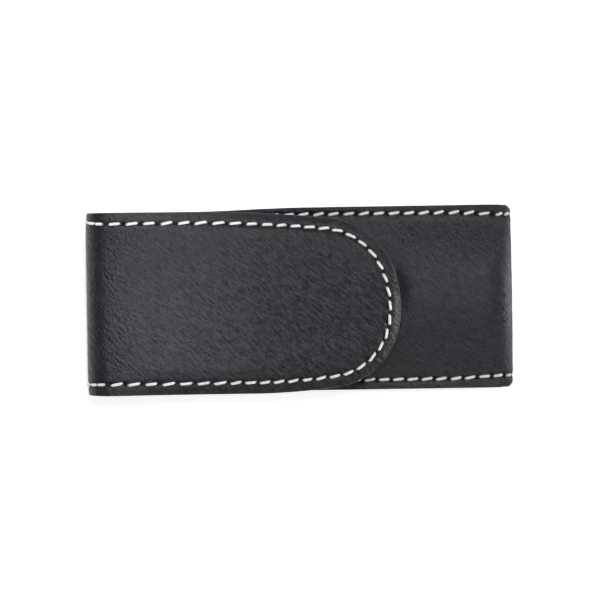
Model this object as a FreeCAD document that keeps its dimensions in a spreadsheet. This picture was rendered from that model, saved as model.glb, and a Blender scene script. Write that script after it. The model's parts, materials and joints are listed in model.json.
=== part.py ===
# Leather flap case: a flat, lined pouch cut from one long strip of soft leather.
# The strip is the front panel, folds round the right-hand end into the back panel,
# folds again at the left-hand end and comes back over the front as a round-ended flap.
# The two long sides are sewn, the flap edge is sewn to its lining, and a hidden
# magnetic snap holds the flap down.
#
# Frame: the case lies on its back. Origin in the middle of the back face,
# +X along the length towards the closed right-hand end, +Y across the width,
# +Z out of the front, through the flap. Millimetres.
import FreeCAD, Part
import math
import os
import Sketcher

V = FreeCAD.Vector
doc = FreeCAD.newDocument("leather_flap_case")

# ---------------------------------------------------------------- driving sizes
# The half turn of the left-hand fold is divided by crease lines on its outer surface,
# with this many short links between them.
LINKS = 6

SIZES = [
    # sheet materials
    ("leather_thk", 1.0),         # finished leather
    ("lining_thk", 0.5),          # textile lining
    ("patch_thk", 0.6),           # leather patch behind the snap
    ("flap_card_thk", 0.8),       # stiffener in the flap
    # pouch
    ("half_width", 26.9),         # half the width over the raw side edges
    ("end_radius", 4.0),          # outside radius of the right-hand fold
    ("end_centre_x", 58.5),       # its centre along the length
    ("mouth_x", -53.2),           # raw edge of the front panel, under the flap
    ("corner_radius", 2.0),       # corners of the outline at the closed end
    ("crown_half", 4.0),          # half width of the flat top of the front
    ("crown_radius", 37.0),       # shoulder of the front, across the width
    ("seam_start", 22.6),         # where the front meets the back, each side
    ("seam_thk", 3.0),            # two leathers and two linings
    ("strip_overlap", 1.0),       # back strip runs this far under the pouch
    ("cutter_over", 2.0),         # cutters run this far past the work
    # fold at the flap
    ("fold_radius", 6.45),        # outside radius of the left-hand fold
    ("fold_centre_x", -56.05),
    ("link_angle", 180.0 / (LINKS + 1)),  # share of the half turn between two crease lines
    ("flap_offset", -0.75),       # the flap sits this far off the pouch, across
    # flap outline: end points of its arcs, then their radii
    ("flap_ax", -36.386), ("flap_ay", 26.150),
    ("flap_bx", 8.341), ("flap_by", 23.874),
    ("flap_cx", 27.428), ("flap_cy", 9.550),
    ("flap_dx", 29.582), ("flap_dy", -7.175),
    ("flap_ex", 10.689), ("flap_ey", -26.082),
    ("flap_fx", -13.529), ("flap_fy", -27.653),
    ("flap_rad_ab", 440.567), ("flap_rad_bc", 23.126), ("flap_rad_cd", 33.193),
    ("flap_rad_de", 21.903), ("flap_rad_ef", 187.469),
    ("flap_card_inset", 6.0),     # flap stiffener edge inside the flap edge
    # all stitches
    ("thread_width", 0.8), ("thread_thk", 0.45), ("stitch_length", 3.5),
    # side seams
    ("seam_pitch", 4.35), ("seam_count", 26.0), ("seam_first_x", -49.6),
    ("upper_seam_y", 24.8), ("lower_seam_y", -24.0),
    # stitches over the left-hand fold
    ("fold_stitch_length", 2.3),
    ("fold_seam_inset", 0.9),     # inside the line of the upper seam
    # stitches round the flap
    ("flap_stitch_inset", 3.4), ("flap_pitch_straight", 5.0), ("flap_pitch_tip", 4.1),
    ("flap_first_stitch", 1.9),   # centre of the first stitch, along the line
    ("flap_last_gap", 1.8),       # least distance from a centre to the end of the line
    ("tip_shortening", 0.45),     # stitches at the tip are this much shorter
    ("tip_taper_x", -24.0),       # the change to the tip stitches starts here
    ("tip_taper_length", 18.0),   # and is complete after this distance along X
    # stitches along the mouth
    ("mouth_stitch_inset", 2.6), ("mouth_pitch", 4.4),
    ("mouth_stitch_share", 0.94),  # share of the full stitch length
    ("mouth_end_gap", 1.0),       # least distance from a centre to the end of the line
    # magnetic snap
    ("snap_x", 13.0),
    ("socket_radius", 7.0), ("socket_rise", 1.9), ("socket_wall", 0.4),
    ("socket_chamfer", 0.35), ("socket_hole", 2.6),
    ("hole_bevel_width", 0.25), ("hole_bevel_depth", 0.2),
    ("patch_length", 20.0), ("patch_width", 16.0),
    ("bump_margin", 1.0),         # lowered lining reaches this far past the patch
    ("magnet_outer", 6.3), ("magnet_inner", 2.7),
    ("snap_base_radius", 6.5), ("snap_base_thk", 0.4),
    ("washer_radius", 5.8), ("washer_thk", 0.3), ("washer_hole", 1.5),
    ("card_hole", 6.2),           # radius of the hole in the patch and in the stiffener
    ("card_hole_over", 1.0),      # its cutter runs this far past each stiffener face
    ("prong_y", 3.5), ("prong_thk", 0.5), ("prong_width", 3.0), ("prong_reach", 5.4),
    ("stud_thk", 0.7), ("nub_radius", 2.3), ("nub_length", 1.35), ("nub_chamfer", 0.4),
]


class Dim:
    """A size with the sheet expression that drives it."""

    def __init__(self, value, text):
        self.value = float(value)
        self.text = text

    @staticmethod
    def of(other):
        return other if isinstance(other, Dim) else Dim(other, "(%r)" % float(other))

    def __add__(self, other):
        other = Dim.of(other)
        return Dim(self.value + other.value, "(%s + %s)" % (self.text, other.text))

    def __sub__(self, other):
        other = Dim.of(other)
        return Dim(self.value - other.value, "(%s - %s)" % (self.text, other.text))

    def __mul__(self, other):
        other = Dim.of(other)
        return Dim(self.value * other.value, "(%s * %s)" % (self.text, other.text))

    def __truediv__(self, other):
        other = Dim.of(other)
        return Dim(self.value / other.value, "(%s / %s)" % (self.text, other.text))

    def __rsub__(self, other):
        return Dim.of(other) - self

    def __rmul__(self, other):
        return Dim.of(other) * self

    def __neg__(self):
        return Dim(-self.value, "(0 - %s)" % self.text)


def dsin(angle):
    return Dim(math.sin(math.radians(angle.value)), "sin(%s)" % angle.text)


def dcos(angle):
    return Dim(math.cos(math.radians(angle.value)), "cos(%s)" % angle.text)


def datan(ratio):
    return Dim(math.degrees(math.atan(ratio.value)), "atan(%s)" % ratio.text)


class Sizes:
    """Every driving size as a Dim, under its alias."""


size = Sizes()
sheet = doc.addObject("Spreadsheet::Sheet", "Params")
for line, (alias, value) in enumerate(SIZES, start=1):
    sheet.set("A%d" % line, alias)
    sheet.set("B%d" % line, repr(value))
    sheet.setAlias("B%d" % line, alias)
    setattr(size, alias, Dim(value, "Params.%s" % alias))
doc.recompute()


# ---------------------------------------------------------------- document helpers
def new_object(kind, name):
    obj = doc.addObject(kind, name)
    obj.Label = name
    return obj


def new_body(name):
    return new_object("PartDesign::Body", name)


def common(name, *shapes):
    obj = new_object("Part::MultiCommon", name)
    obj.Shapes = list(shapes)
    return obj


def fuse(name, *shapes):
    obj = new_object("Part::MultiFuse", name)
    obj.Shapes = list(shapes)
    return obj


def cut(name, base, tool):
    obj = new_object("Part::Cut", name)
    obj.Base, obj.Tool = base, tool
    return obj


def code_part(name, shape):
    """A computed shape, held at the document origin."""
    obj = new_object("Part::Feature", name)
    obj.Shape = shape
    obj.Placement = FreeCAD.Placement()
    return obj


def set_size(obj, prop, dim):
    dim = Dim.of(dim)
    setattr(obj, prop, dim.value)
    obj.setExpression(prop, dim.text)


def put_at(obj, rotation=None, **coords):
    """Place an object; each given coordinate (x, y, z) is driven by its Dim."""
    base = V(*[Dim.of(coords.get(axis, 0)).value for axis in "xyz"])
    obj.Placement = FreeCAD.Placement(base, rotation or FreeCAD.Rotation())
    for axis, dim in coords.items():
        obj.setExpression("Placement.Base.%s" % axis, dim.text)


# ---------------------------------------------------------------- sketches and features
def arc_between(start, end, radius, clockwise):
    """Centre of the short arc between two points, and the angles of its ends."""
    chord = end - start
    rise = math.sqrt(max(radius ** 2 - (chord.Length / 2) ** 2, 0.0))
    side = V(-chord.y, chord.x, 0).normalize()
    middle = (start + end) * 0.5
    centre = middle - side * rise if clockwise else middle + side * rise
    return (centre, math.atan2(start.y - centre.y, start.x - centre.x),
            math.atan2(end.y - centre.y, end.x - centre.x))


def constrain(sketch, name, dim, *where):
    """A named constraint driven by a Dim."""
    index = sketch.addConstraint(Sketcher.Constraint(*where, dim.value))
    sketch.renameConstraint(index, name)
    sketch.setExpression("Constraints.%s" % name, dim.text)


def profile(body, name, plane, points=(), arcs=None, circles=(), lift=None):
    """A closed sketch on one of the body's origin planes. points are (Dim, Dim) corners;
    arcs maps the index of a side to (radius, True if it turns clockwise);
    circles are radii about the sketch origin; lift moves the sketch along its normal."""
    arcs = arcs or {}
    sketch = body.newObject("Sketcher::SketchObject", name)
    base = [f for f in body.Origin.OriginFeatures if f.Role == plane][0]
    sketch.AttachmentSupport = [(base, "")]
    sketch.MapMode = "FlatFace"
    if lift is not None:
        lift = Dim.of(lift)
        sketch.AttachmentOffset = FreeCAD.Placement(V(0, 0, lift.value), FreeCAD.Rotation())
        sketch.setExpression("AttachmentOffset.Base.z", lift.text)
    corners = [(Dim.of(a), Dim.of(b)) for a, b in points]
    count = len(corners)
    sides = []                                     # (geometry, start vertex, end vertex)
    for i in range(count):
        start, end = [V(a.value, b.value, 0) for a, b in (corners[i], corners[(i + 1) % count])]
        if i not in arcs:
            sides.append((sketch.addGeometry(Part.LineSegment(start, end)), 1, 2))
            continue
        radius, clockwise = arcs[i]
        radius = Dim.of(radius).value
        centre, angle_0, angle_1 = arc_between(start, end, radius, clockwise)
        circle = Part.Circle(centre, V(0, 0, 1), radius)
        if clockwise:
            sides.append((sketch.addGeometry(Part.ArcOfCircle(circle, angle_1, angle_0)), 2, 1))
        else:
            sides.append((sketch.addGeometry(Part.ArcOfCircle(circle, angle_0, angle_1)), 1, 2))
    for i, (geometry, _, end) in enumerate(sides):
        next_geometry, next_start, _ = sides[(i + 1) % count]
        sketch.addConstraint(
            Sketcher.Constraint("Coincident", geometry, end, next_geometry, next_start))
    for i, (geometry, start, _) in enumerate(sides):
        for axis, dim in zip("XY", corners[i]):
            constrain(sketch, "p%d%s" % (i, axis.lower()), dim,
                      "Distance" + axis, -1, 1, geometry, start)
    for i, (radius, _) in sorted(arcs.items()):
        constrain(sketch, "rad%d" % i, Dim.of(radius), "Radius", sides[i][0])
    for i, radius in enumerate(circles):
        radius = Dim.of(radius)
        geometry = sketch.addGeometry(Part.Circle(V(0, 0, 0), V(0, 0, 1), radius.value))
        for axis in "XY":
            constrain(sketch, "c%d%s" % (i, axis.lower()), Dim.of(0),
                      "Distance" + axis, -1, 1, geometry, 3)
        constrain(sketch, "crad%d" % i, radius, "Radius", geometry)
    return sketch


def pad(body, sketch, length, both=False):
    feature = body.newObject("PartDesign::Pad", sketch.Name + "_pad")
    feature.Profile = sketch
    set_size(feature, "Length", length)
    feature.Midplane = both
    return feature


def pocket_up(body, sketch, depth):
    """A pocket on the +normal side of the sketch that must remove material."""
    doc.recompute()
    before = body.Shape.Volume
    feature = body.newObject("PartDesign::Pocket", sketch.Name + "_pocket")
    feature.Profile = sketch
    set_size(feature, "Length", depth)
    feature.Midplane = False
    feature.Reversed = True
    doc.recompute()
    if not body.Shape.Volume < before - 1e-6:
        raise RuntimeError("pocket %s removes nothing" % sketch.Name)


def revolve(body, name, points):
    """A half section in the XZ plane, spun about the body's Z axis."""
    sketch = profile(body, name + "_half", "XZ_Plane", points)
    feature = body.newObject("PartDesign::Revolution", name + "_turn")
    feature.Profile = sketch
    feature.ReferenceAxis = (sketch, ["V_Axis"])
    feature.Angle = 360.0


def pattern_row(body, feature, sketch, axis, pitch, count, reverse=False):
    """A straight row of the same feature."""
    doc.recompute()
    pattern = body.newObject("PartDesign::LinearPattern", feature.Name + "_row")
    pattern.Originals = [feature]
    pattern.Direction = (sketch, [axis])
    pattern.Reversed = reverse
    count = Dim.of(count)
    set_size(pattern, "Length", pitch * (count - 1))
    pattern.Occurrences = int(round(count.value))
    pattern.setExpression("Occurrences", count.text)
    body.Tip = pattern


# ---------------------------------------------------------------- pouch shapes
full_width = 2 * size.half_width
crown = 2 * size.end_radius                        # height of the front panel
# steepest slope of the front, where shoulder and seam curve meet
slope = 2 * datan((crown - size.seam_thk) / (size.seam_start - size.crown_half))
seam_radius = (size.seam_start - size.crown_half) / dsin(slope) - size.crown_radius
lining_in = size.leather_thk + size.lining_thk     # depth of the lining's inner face
patch_in = size.leather_thk + size.patch_thk


def side_solid(name, inset, left):
    """Side view of the pouch: a D lying down, its round end at the right."""
    body = new_body(name)
    centre_x, centre_z = size.end_centre_x, size.end_radius
    radius = centre_z - inset
    sketch = profile(
        body, name + "_side", "XZ_Plane",
        [(left, inset), (centre_x, inset), (centre_x + radius, centre_z),
         (centre_x, centre_z + radius), (left, centre_z + radius)],
        arcs={1: (radius, False), 2: (radius, False)},
    )
    pad(body, sketch, full_width, both=True)
    return body


def section_solid(name, inset):
    """Cross-section of the pouch: flat crown, round shoulders, sewn flanges."""
    body = new_body(name)
    edge = size.half_width + size.cutter_over
    shoulder, hollow_curve = size.crown_radius - inset, seam_radius + inset
    mid_y = size.crown_half + shoulder * dsin(slope)
    mid_z = crown - size.crown_radius + shoulder * dcos(slope)
    flange, top = size.seam_thk - inset, crown - inset
    sketch = profile(
        body, name + "_section", "YZ_Plane",
        [(-edge, -size.cutter_over), (edge, -size.cutter_over), (edge, flange),
         (size.seam_start, flange), (mid_y, mid_z), (size.crown_half, top),
         (-size.crown_half, top), (-mid_y, mid_z), (-size.seam_start, flange), (-edge, flange)],
        arcs={3: (hollow_curve, True), 4: (shoulder, False),
              6: (shoulder, False), 7: (hollow_curve, True)},
    )
    pad(body, sketch, 4 * size.end_centre_x, both=True)
    return body


def plan_solid(name, left):
    """Outline of the pouch from above, with its two rounded corners."""
    body = new_body(name)
    half, corner = size.half_width, size.corner_radius
    right = size.end_centre_x + size.end_radius
    sketch = profile(
        body, name + "_plan", "XY_Plane",
        [(left, -half), (right - corner, -half), (right, -half + corner),
         (right, half - corner), (right - corner, half), (left, half)],
        arcs={1: (corner, False), 3: (corner, False)},
    )
    pad(body, sketch, 4 * size.end_radius, both=True)
    return body


# ---------------------------------------------------------------- strip at the left-hand fold
fold_outer = size.fold_radius
fold_mid = fold_outer - size.leather_thk           # between leather and lining
fold_inner = fold_mid - size.lining_thk
half_link = size.link_angle / 2


def arc_strip(body, name, first, last, outer, inner, lift=None):
    """Part of the left-hand fold in side view, between two angles from its lowest line."""

    def at(radius, angle):
        return (size.fold_centre_x - radius * dsin(angle), size.fold_radius - radius * dcos(angle))

    first, last = Dim.of(first), Dim.of(last)
    return profile(
        body, name, "XZ_Plane",
        [at(outer, first), at(outer, last), at(inner, last), at(inner, first)],
        arcs={0: (outer, True), 2: (inner, False)}, lift=lift,
    )


def back_run(name, prefix, right, z0, z1, outer, inner):
    """A flat layer along the back that starts up the left-hand fold."""
    body = new_body(name)
    left = size.fold_centre_x
    sketch = profile(body, prefix + "_flat", "XZ_Plane",
                     [(left, z0), (right, z0), (right, z1), (left, z1)])
    pad(body, sketch, full_width, both=True)
    sketch = arc_strip(body, prefix + "_arc", 0, half_link, outer, inner)
    pad(body, sketch, full_width, both=True)
    return body


# ---------------------------------------------------------------- leather of the pouch, uncut
# outer solid less inner solid, plus the strip that runs on past the mouth
outer_blank = common(
    "pouch_outer",
    side_solid("outer_side", 0, size.mouth_x),
    section_solid("outer_section", 0),
    plan_solid("outer_plan", size.mouth_x),
)
inner_blank = common(
    "pouch_inner",
    side_solid("inner_side", size.leather_thk, size.mouth_x - size.cutter_over),
    section_solid("inner_section", size.leather_thk),
)
leather_shell = cut("leather_shell", outer_blank, inner_blank)
back_strip = back_run("back_strip", "strip", size.mouth_x + size.strip_overlap,
                      0, size.leather_thk, fold_outer, fold_mid)
leather_blank = fuse("leather_blank", leather_shell, back_strip)


# ---------------------------------------------------------------- seam stitches
def stitch_row(name, y, z0):
    """A straight row of stitches along the length, lying in the leather."""
    body = new_body(name)
    x = size.seam_first_x
    half, radius = size.stitch_length / 2, size.thread_width / 2
    sketch = profile(
        body, name + "_one", "XY_Plane",
        [(x - half + radius, y - radius), (x + half - radius, y - radius), (x + half, y),
         (x + half - radius, y + radius), (x - half + radius, y + radius), (x - half, y)],
        arcs={i: (radius, False) for i in (1, 2, 4, 5)},
        lift=z0,
    )
    feature = pad(body, sketch, size.thread_thk)
    pattern_row(body, feature, sketch, "H_Axis", size.seam_pitch, size.seam_count)
    return body


seam_threads = [
    stitch_row("%s_seam_thread_%s" % (side, face), y, z0)
    for face, z0 in (("front", size.seam_thk - size.thread_thk), ("back", 0))
    for side, y in (("upper", size.upper_seam_y), ("lower", size.lower_seam_y))
]


def stitch_bar(length):
    """One stitch: a bar with round ends, along X, its top face at z = 0."""
    width, thk = size.thread_width.value, size.thread_thk.value
    radius, half = width / 2, length / 2 - width / 2
    corners = [V(-half, -radius, -thk), V(half, -radius, -thk),
               V(half, radius, -thk), V(-half, radius, -thk)]
    wire = Part.Wire([
        Part.makeLine(corners[0], corners[1]),
        Part.Arc(corners[1], V(half + radius, 0, -thk), corners[2]).toShape(),
        Part.makeLine(corners[2], corners[3]),
        Part.Arc(corners[3], V(-half - radius, 0, -thk), corners[0]).toShape(),
    ])
    return Part.Face(wire).extrude(V(0, 0, thk))


# ---------------------------------------------------------------- mouth stitches
def crown_point(distance):
    """y, z and tilt on the front, this far from the middle along the surface."""
    side, left = (1 if distance >= 0 else -1), abs(distance)
    steepest = math.radians(slope.value)
    flat, shoulder = size.crown_half.value, size.crown_radius.value
    if left <= flat:
        return side * left, crown.value, 0.0
    left -= flat
    angle = left / shoulder
    if angle <= steepest:
        return (side * (flat + shoulder * math.sin(angle)),
                crown.value - shoulder * (1 - math.cos(angle)), -side * angle)
    turned_back = min((left - shoulder * steepest) / seam_radius.value, steepest)
    angle = steepest - turned_back
    return (side * (size.seam_start.value - seam_radius.value * math.sin(angle)),
            size.seam_thk.value + seam_radius.value * (1 - math.cos(angle)), -side * angle)


def mouth_stitches(name):
    """Stitches along the mouth, over the crown and shoulders of the front."""
    pitch = size.mouth_pitch.value
    reach = size.crown_half.value + math.radians(slope.value) * (
        size.crown_radius.value + seam_radius.value)
    steps = int((reach - size.mouth_end_gap.value) // pitch)
    bars = []
    for i in range(-steps, steps + 1):
        y, z, tilt = crown_point(i * pitch)
        stitch = stitch_bar(size.stitch_length.value * size.mouth_stitch_share.value)
        stitch.rotate(V(0, 0, 0), V(0, 0, 1), 90)
        stitch.rotate(V(0, 0, 0), V(1, 0, 0), math.degrees(tilt))
        stitch.translate(V(size.mouth_x.value + size.mouth_stitch_inset.value, y, z))
        bars.append(stitch)
    return code_part(name, Part.makeCompound(bars))


mouth_thread = mouth_stitches("mouth_thread")


# ---------------------------------------------------------------- magnetic snap helpers
prong_near = size.prong_y - size.prong_thk / 2
prong_far = size.prong_y + size.prong_thk / 2


def snap_body(name):
    """A body whose Z axis is the axis of the snap."""
    body = new_body(name)
    put_at(body, x=size.snap_x)
    return body


def disc(body, name, radius, z0, thk, *holes):
    sketch = profile(body, name, "XY_Plane", circles=(radius,) + holes, lift=z0)
    pad(body, sketch, thk)


def prongs(body, name, root_z, tip_z, bend_z):
    """Two flat prongs, through the work and bent outwards behind it."""
    for side, tag in ((1, "a"), (-1, "b")):
        near, far, reach = side * prong_near, side * prong_far, side * size.prong_reach
        sketch = profile(body, name + "_prong_" + tag, "YZ_Plane",
                         [(near, root_z), (far, root_z), (far, bend_z),
                          (reach, bend_z), (reach, tip_z), (near, tip_z)])
        pad(body, sketch, size.prong_width, both=True)


def snap_washer(name, z0):
    """A washer with a centre hole and two slots that let the prongs through."""
    body = snap_body(name)
    disc(body, name + "_disc", size.washer_radius, z0, size.washer_thk, size.washer_hole)
    half = size.prong_width / 2
    for side, tag in ((1, "a"), (-1, "b")):
        near, far = side * prong_near, side * prong_far
        sketch = profile(body, name + "_slot_" + tag, "XY_Plane",
                         [(-half, near), (half, near), (half, far), (-half, far)], lift=z0)
        pocket_up(body, sketch, size.washer_thk)
    return body


def snap_hole(name, z0, height):
    """Cutter for the round hole about the snap."""
    cylinder = new_object("Part::Cylinder", name)
    set_size(cylinder, "Radius", size.card_hole)
    set_size(cylinder, "Height", height)
    put_at(cylinder, x=size.snap_x, z=Dim.of(z0))
    return cylinder


# ---------------------------------------------------------------- magnetic snap, pouch half
socket_top = crown + size.socket_rise
magnet_top = socket_top - size.socket_wall
socket_inner = size.socket_radius - size.socket_wall
revolve(snap_body("socket_shell"), "socket_shell", [
    (socket_inner, crown), (size.socket_radius, crown),
    (size.socket_radius, socket_top - size.socket_chamfer),
    (size.socket_radius - size.socket_chamfer, socket_top),
    (size.socket_hole + size.hole_bevel_width, socket_top),
    (size.socket_hole, socket_top - size.hole_bevel_depth),
    (size.socket_hole, magnet_top), (socket_inner, magnet_top),
])
magnet_low = crown + size.snap_base_thk
revolve(snap_body("socket_magnet"), "socket_magnet", [
    (size.magnet_inner, magnet_low), (size.magnet_outer, magnet_low),
    (size.magnet_outer, magnet_top), (size.magnet_inner, magnet_top),
])

washer_low = crown - size.leather_thk - size.washer_thk   # washer under the front leather
socket_base = snap_body("socket_base")
disc(socket_base, "socket_base_disc", size.snap_base_radius, crown, size.snap_base_thk)
prongs(socket_base, "socket_base", root_z=crown, tip_z=washer_low - size.washer_thk,
       bend_z=washer_low)
socket_washer = snap_washer("socket_washer", washer_low)

# leather of the pouch, with the snap's two slits and a bed for every stitch
leather_tools = fuse("leather_tools", *seam_threads, socket_base, socket_washer)
leather_sewn = cut("leather_sewn", leather_blank, leather_tools)
cut("body_leather", leather_sewn, mouth_thread)


# ---------------------------------------------------------------- snap patch
def patch_cutter(name, margin):
    """A block over the patch outline, grown by margin, in the upper half of the pouch."""
    body = new_body(name)
    half_l = size.patch_length / 2 + margin
    half_w = size.patch_width / 2 + margin
    left, right = size.snap_x - half_l, size.snap_x + half_l
    sketch = profile(body, name + "_plan", "XY_Plane",
                     [(left, -half_w), (right, -half_w), (right, half_w), (left, half_w)],
                     lift=size.end_radius)
    pad(body, sketch, crown - size.end_radius)
    return body


# it follows the underside of the front leather behind the snap
patch_block = patch_cutter("patch_block", 0)
patch_over = common("patch_over", patch_block, section_solid("patch_upper", size.leather_thk))
patch_sheet = cut("patch_sheet", patch_over, section_solid("patch_lower", patch_in))
cut("snap_patch", patch_sheet, snap_hole("patch_hole", 0, 4 * size.end_radius))

# ---------------------------------------------------------------- pouch linings
# hollow of the pocket: parallel to the leather, lowered where the lining covers the patch
hollow = common(
    "hollow",
    side_solid("hollow_side", lining_in, size.mouth_x - size.cutter_over),
    section_solid("hollow_section", lining_in),
)
bump_block = patch_cutter("bump_block", size.bump_margin)
bump = cut("bump", bump_block, section_solid("bump_lower", patch_in + size.lining_thk))
pouch_void = cut("pouch_void", hollow, bump)
lining_solid = common(
    "lining_solid",
    side_solid("lining_side", size.leather_thk, size.mouth_x),
    section_solid("lining_section", size.leather_thk),
)
lining_hollow = cut("lining_hollow", lining_solid, pouch_void)

# the flat lower layer is taken away from the front lining; the back lining fills it
lining_split = new_body("lining_split")
split_left = size.mouth_x - size.cutter_over
split_sketch = profile(
    lining_split, "lining_split_side", "XZ_Plane",
    [(split_left, 0), (size.end_centre_x, 0), (size.end_centre_x, lining_in),
     (split_left, lining_in)],
)
pad(lining_split, split_sketch, full_width + size.cutter_over, both=True)
lining_tools = fuse("lining_tools", lining_split, patch_sheet)
cut("lining_front", lining_hollow, lining_tools)

back_run("lining_back", "lining_back", size.end_centre_x,
         size.leather_thk, lining_in, fold_mid, fold_inner)


# ---------------------------------------------------------------- left-hand fold
def link_layer(name, outer, inner, half_angle, width, lift=None):
    """One curved layer of a link, centred on the -X side of its own Y axis."""
    body = new_body(name)
    across, up = dcos(half_angle), dsin(half_angle)
    sketch = profile(
        body, name + "_side", "XZ_Plane",
        [(-outer * across, -outer * up), (-outer * across, outer * up),
         (-inner * across, inner * up), (-inner * across, -inner * up)],
        arcs={0: (outer, True), 2: (inner, False)},
        lift=lift,
    )
    return body, pad(body, sketch, width, both=True), sketch


def fold_link(i):
    """Leather, lining and two stitches of one link of the fold."""
    seam_y = size.upper_seam_y - size.fold_seam_inset
    stitch_half_angle = size.fold_stitch_length / fold_outer * math.degrees(0.5)
    thread, feature, sketch = link_layer(
        "fold_thread_%d" % i, fold_outer, fold_outer - size.thread_thk,
        stitch_half_angle, size.thread_width, lift=seam_y)
    pattern_row(thread, feature, sketch, "N_Axis", 2 * seam_y, 2, reverse=True)
    leather, _, _ = link_layer("fold_strip_%d" % i, fold_outer, fold_mid, half_link, full_width)
    lining, _, _ = link_layer("fold_lining_%d" % i, fold_mid, fold_inner, half_link, full_width)
    turn = size.link_angle * i - 90
    for body in (thread, leather, lining):
        put_at(body, rotation=FreeCAD.Rotation(V(0, 1, 0), turn.value), x=size.fold_centre_x,
               y=size.flap_offset * i / (LINKS + 1), z=size.fold_radius)
        body.setExpression("Placement.Rotation.Angle", turn.text)
    cut("fold_leather_%d" % i, leather, thread)


for number in range(1, LINKS + 1):
    fold_link(number)

# ---------------------------------------------------------------- flap outline
flap_top = 2 * size.fold_radius
flap_under = flap_top - size.leather_thk           # underside of the flap leather
card_low = flap_under - size.flap_card_thk
flap_low = card_low - size.lining_thk
flap_corners = [(getattr(size, "flap_%sx" % k), getattr(size, "flap_%sy" % k)) for k in "abcdef"]
flap_radii = [getattr(size, "flap_rad_" + k) for k in ("ab", "bc", "cd", "de", "ef")]
flap_points = (
    [(size.fold_centre_x, size.flap_ay)] + flap_corners + [(size.fold_centre_x, size.flap_fy)]
)
flap_arcs = {i: (radius, True) for i, radius in enumerate(flap_radii, start=1)}


def flap_layer(name, arc_name, z0, thk, outer, inner):
    """A flat layer of the flap with its start, the last part of the left-hand fold."""
    body = new_body(name)
    sketch = profile(body, name + "_plan", "XY_Plane", flap_points, arcs=flap_arcs, lift=z0)
    pad(body, sketch, thk)
    # the normal of the XZ plane is -Y
    sketch = arc_strip(body, arc_name, 180 - half_link, 180, outer, inner,
                       lift=-(size.flap_ay + size.flap_fy) / 2)
    pad(body, sketch, size.flap_ay - size.flap_fy, both=True)
    return body


# ---------------------------------------------------------------- flap stitches
def straight_run(x0, y, direction, length, heading):
    """A straight part of the stitch line, running along +X or -X."""
    return length, lambda distance: (x0 + direction * distance, y, heading)


def arc_run(start, end, edge_radius, inset):
    """A clockwise arc of the stitch line, inset from an arc of the flap edge."""
    centre, angle_0, angle_1 = arc_between(start, end, edge_radius, clockwise=True)
    radius = edge_radius - inset

    def at(distance):
        angle = angle_0 - distance / radius
        return (centre.x + radius * math.cos(angle), centre.y + radius * math.sin(angle),
                angle - math.pi / 2)

    return radius * (angle_0 - angle_1), at


def flap_stitch_line():
    """Parts of the line parallel to the flap edge: (length, distance -> x, y, heading)."""
    inset, left = size.flap_stitch_inset.value, size.fold_centre_x.value
    corners = [V(x.value, y.value, 0) for x, y in flap_corners]
    first, last = corners[0], corners[-1]
    runs = [straight_run(left, first.y - inset, 1, first.x - left, 0.0)]
    for start, end, radius in zip(corners, corners[1:], flap_radii):
        runs.append(arc_run(start, end, radius.value, inset))
    runs.append(straight_run(last.x, last.y + inset, -1, last.x - left, math.pi))
    return runs


stitch_line = flap_stitch_line()


def on_stitch_line(distance):
    for length, at in stitch_line:
        if distance <= length:
            return at(distance)
        distance -= length
    return at(length)


def tip_share(x):
    """0 where the stitches are long and wide apart, 1 where they are as at the tip."""
    return min(max((x - size.tip_taper_x.value) / size.tip_taper_length.value, 0.0), 1.0)


def flap_stitch_places():
    """(x, y, heading) of every stitch round the flap."""
    straight, tip = size.flap_pitch_straight.value, size.flap_pitch_tip.value
    total = sum(length for length, _ in stitch_line)
    places = []
    distance = size.flap_first_stitch.value
    while distance < total - size.flap_last_gap.value:
        places.append(on_stitch_line(distance))
        distance += straight + tip_share(places[-1][0]) * (tip - straight)
    return places


def flap_stitches(name, top_z):
    bars = []
    for x, y, heading in flap_stitch_places():
        stitch = stitch_bar(size.stitch_length.value - size.tip_shortening.value * tip_share(x))
        stitch.rotate(V(0, 0, 0), V(0, 0, 1), math.degrees(heading))
        stitch.translate(V(x, y, top_z.value))
        bars.append(stitch)
    return code_part(name, Part.makeCompound(bars))


thread_outer = flap_stitches("flap_thread_outer", flap_top)
thread_inner = flap_stitches("flap_thread_inner", flap_low + size.thread_thk)

# ---------------------------------------------------------------- flap leather
flap_blank = flap_layer("flap_blank", "flap_blank_arc", flap_under, size.leather_thk,
                        fold_outer, fold_mid)
cut("flap_leather", flap_blank, thread_outer)

# ---------------------------------------------------------------- flap stiffener
# the flap outline, set in, with a round hole about the snap
card_outline = new_body("flap_card_outline")
card_sketch = profile(card_outline, "flap_card_plan", "XY_Plane", flap_points, arcs=flap_arcs,
                      lift=card_low)
doc.recompute()
card_face = Part.Face(card_sketch.Shape.Wires[0]).makeOffset2D(-size.flap_card_inset.value)
card_slab = code_part("flap_card_slab", card_face.extrude(V(0, 0, size.flap_card_thk.value)))
card_hole = snap_hole("flap_card_hole", card_low - size.card_hole_over,
                      size.flap_card_thk + 2 * size.card_hole_over)
cut("flap_stiffener", card_slab, card_hole)

# ---------------------------------------------------------------- magnetic snap, flap half
stud = snap_body("stud_plate")
stud_low = flap_low - size.stud_thk
disc(stud, "stud_disc", size.snap_base_radius, stud_low, size.stud_thk)
nub_low = stud_low - size.nub_length
revolve(stud, "stud_nub", [
    (0, nub_low), (size.nub_radius - size.nub_chamfer, nub_low),
    (size.nub_radius, nub_low + size.nub_chamfer), (size.nub_radius, stud_low), (0, stud_low),
])
stud_washer_low = flap_low + size.lining_thk
stud_back = stud_washer_low + size.washer_thk
prongs(stud, "stud", root_z=flap_low, tip_z=stud_back + size.washer_thk, bend_z=stud_back)
snap_washer("stud_washer", stud_washer_low)

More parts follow.
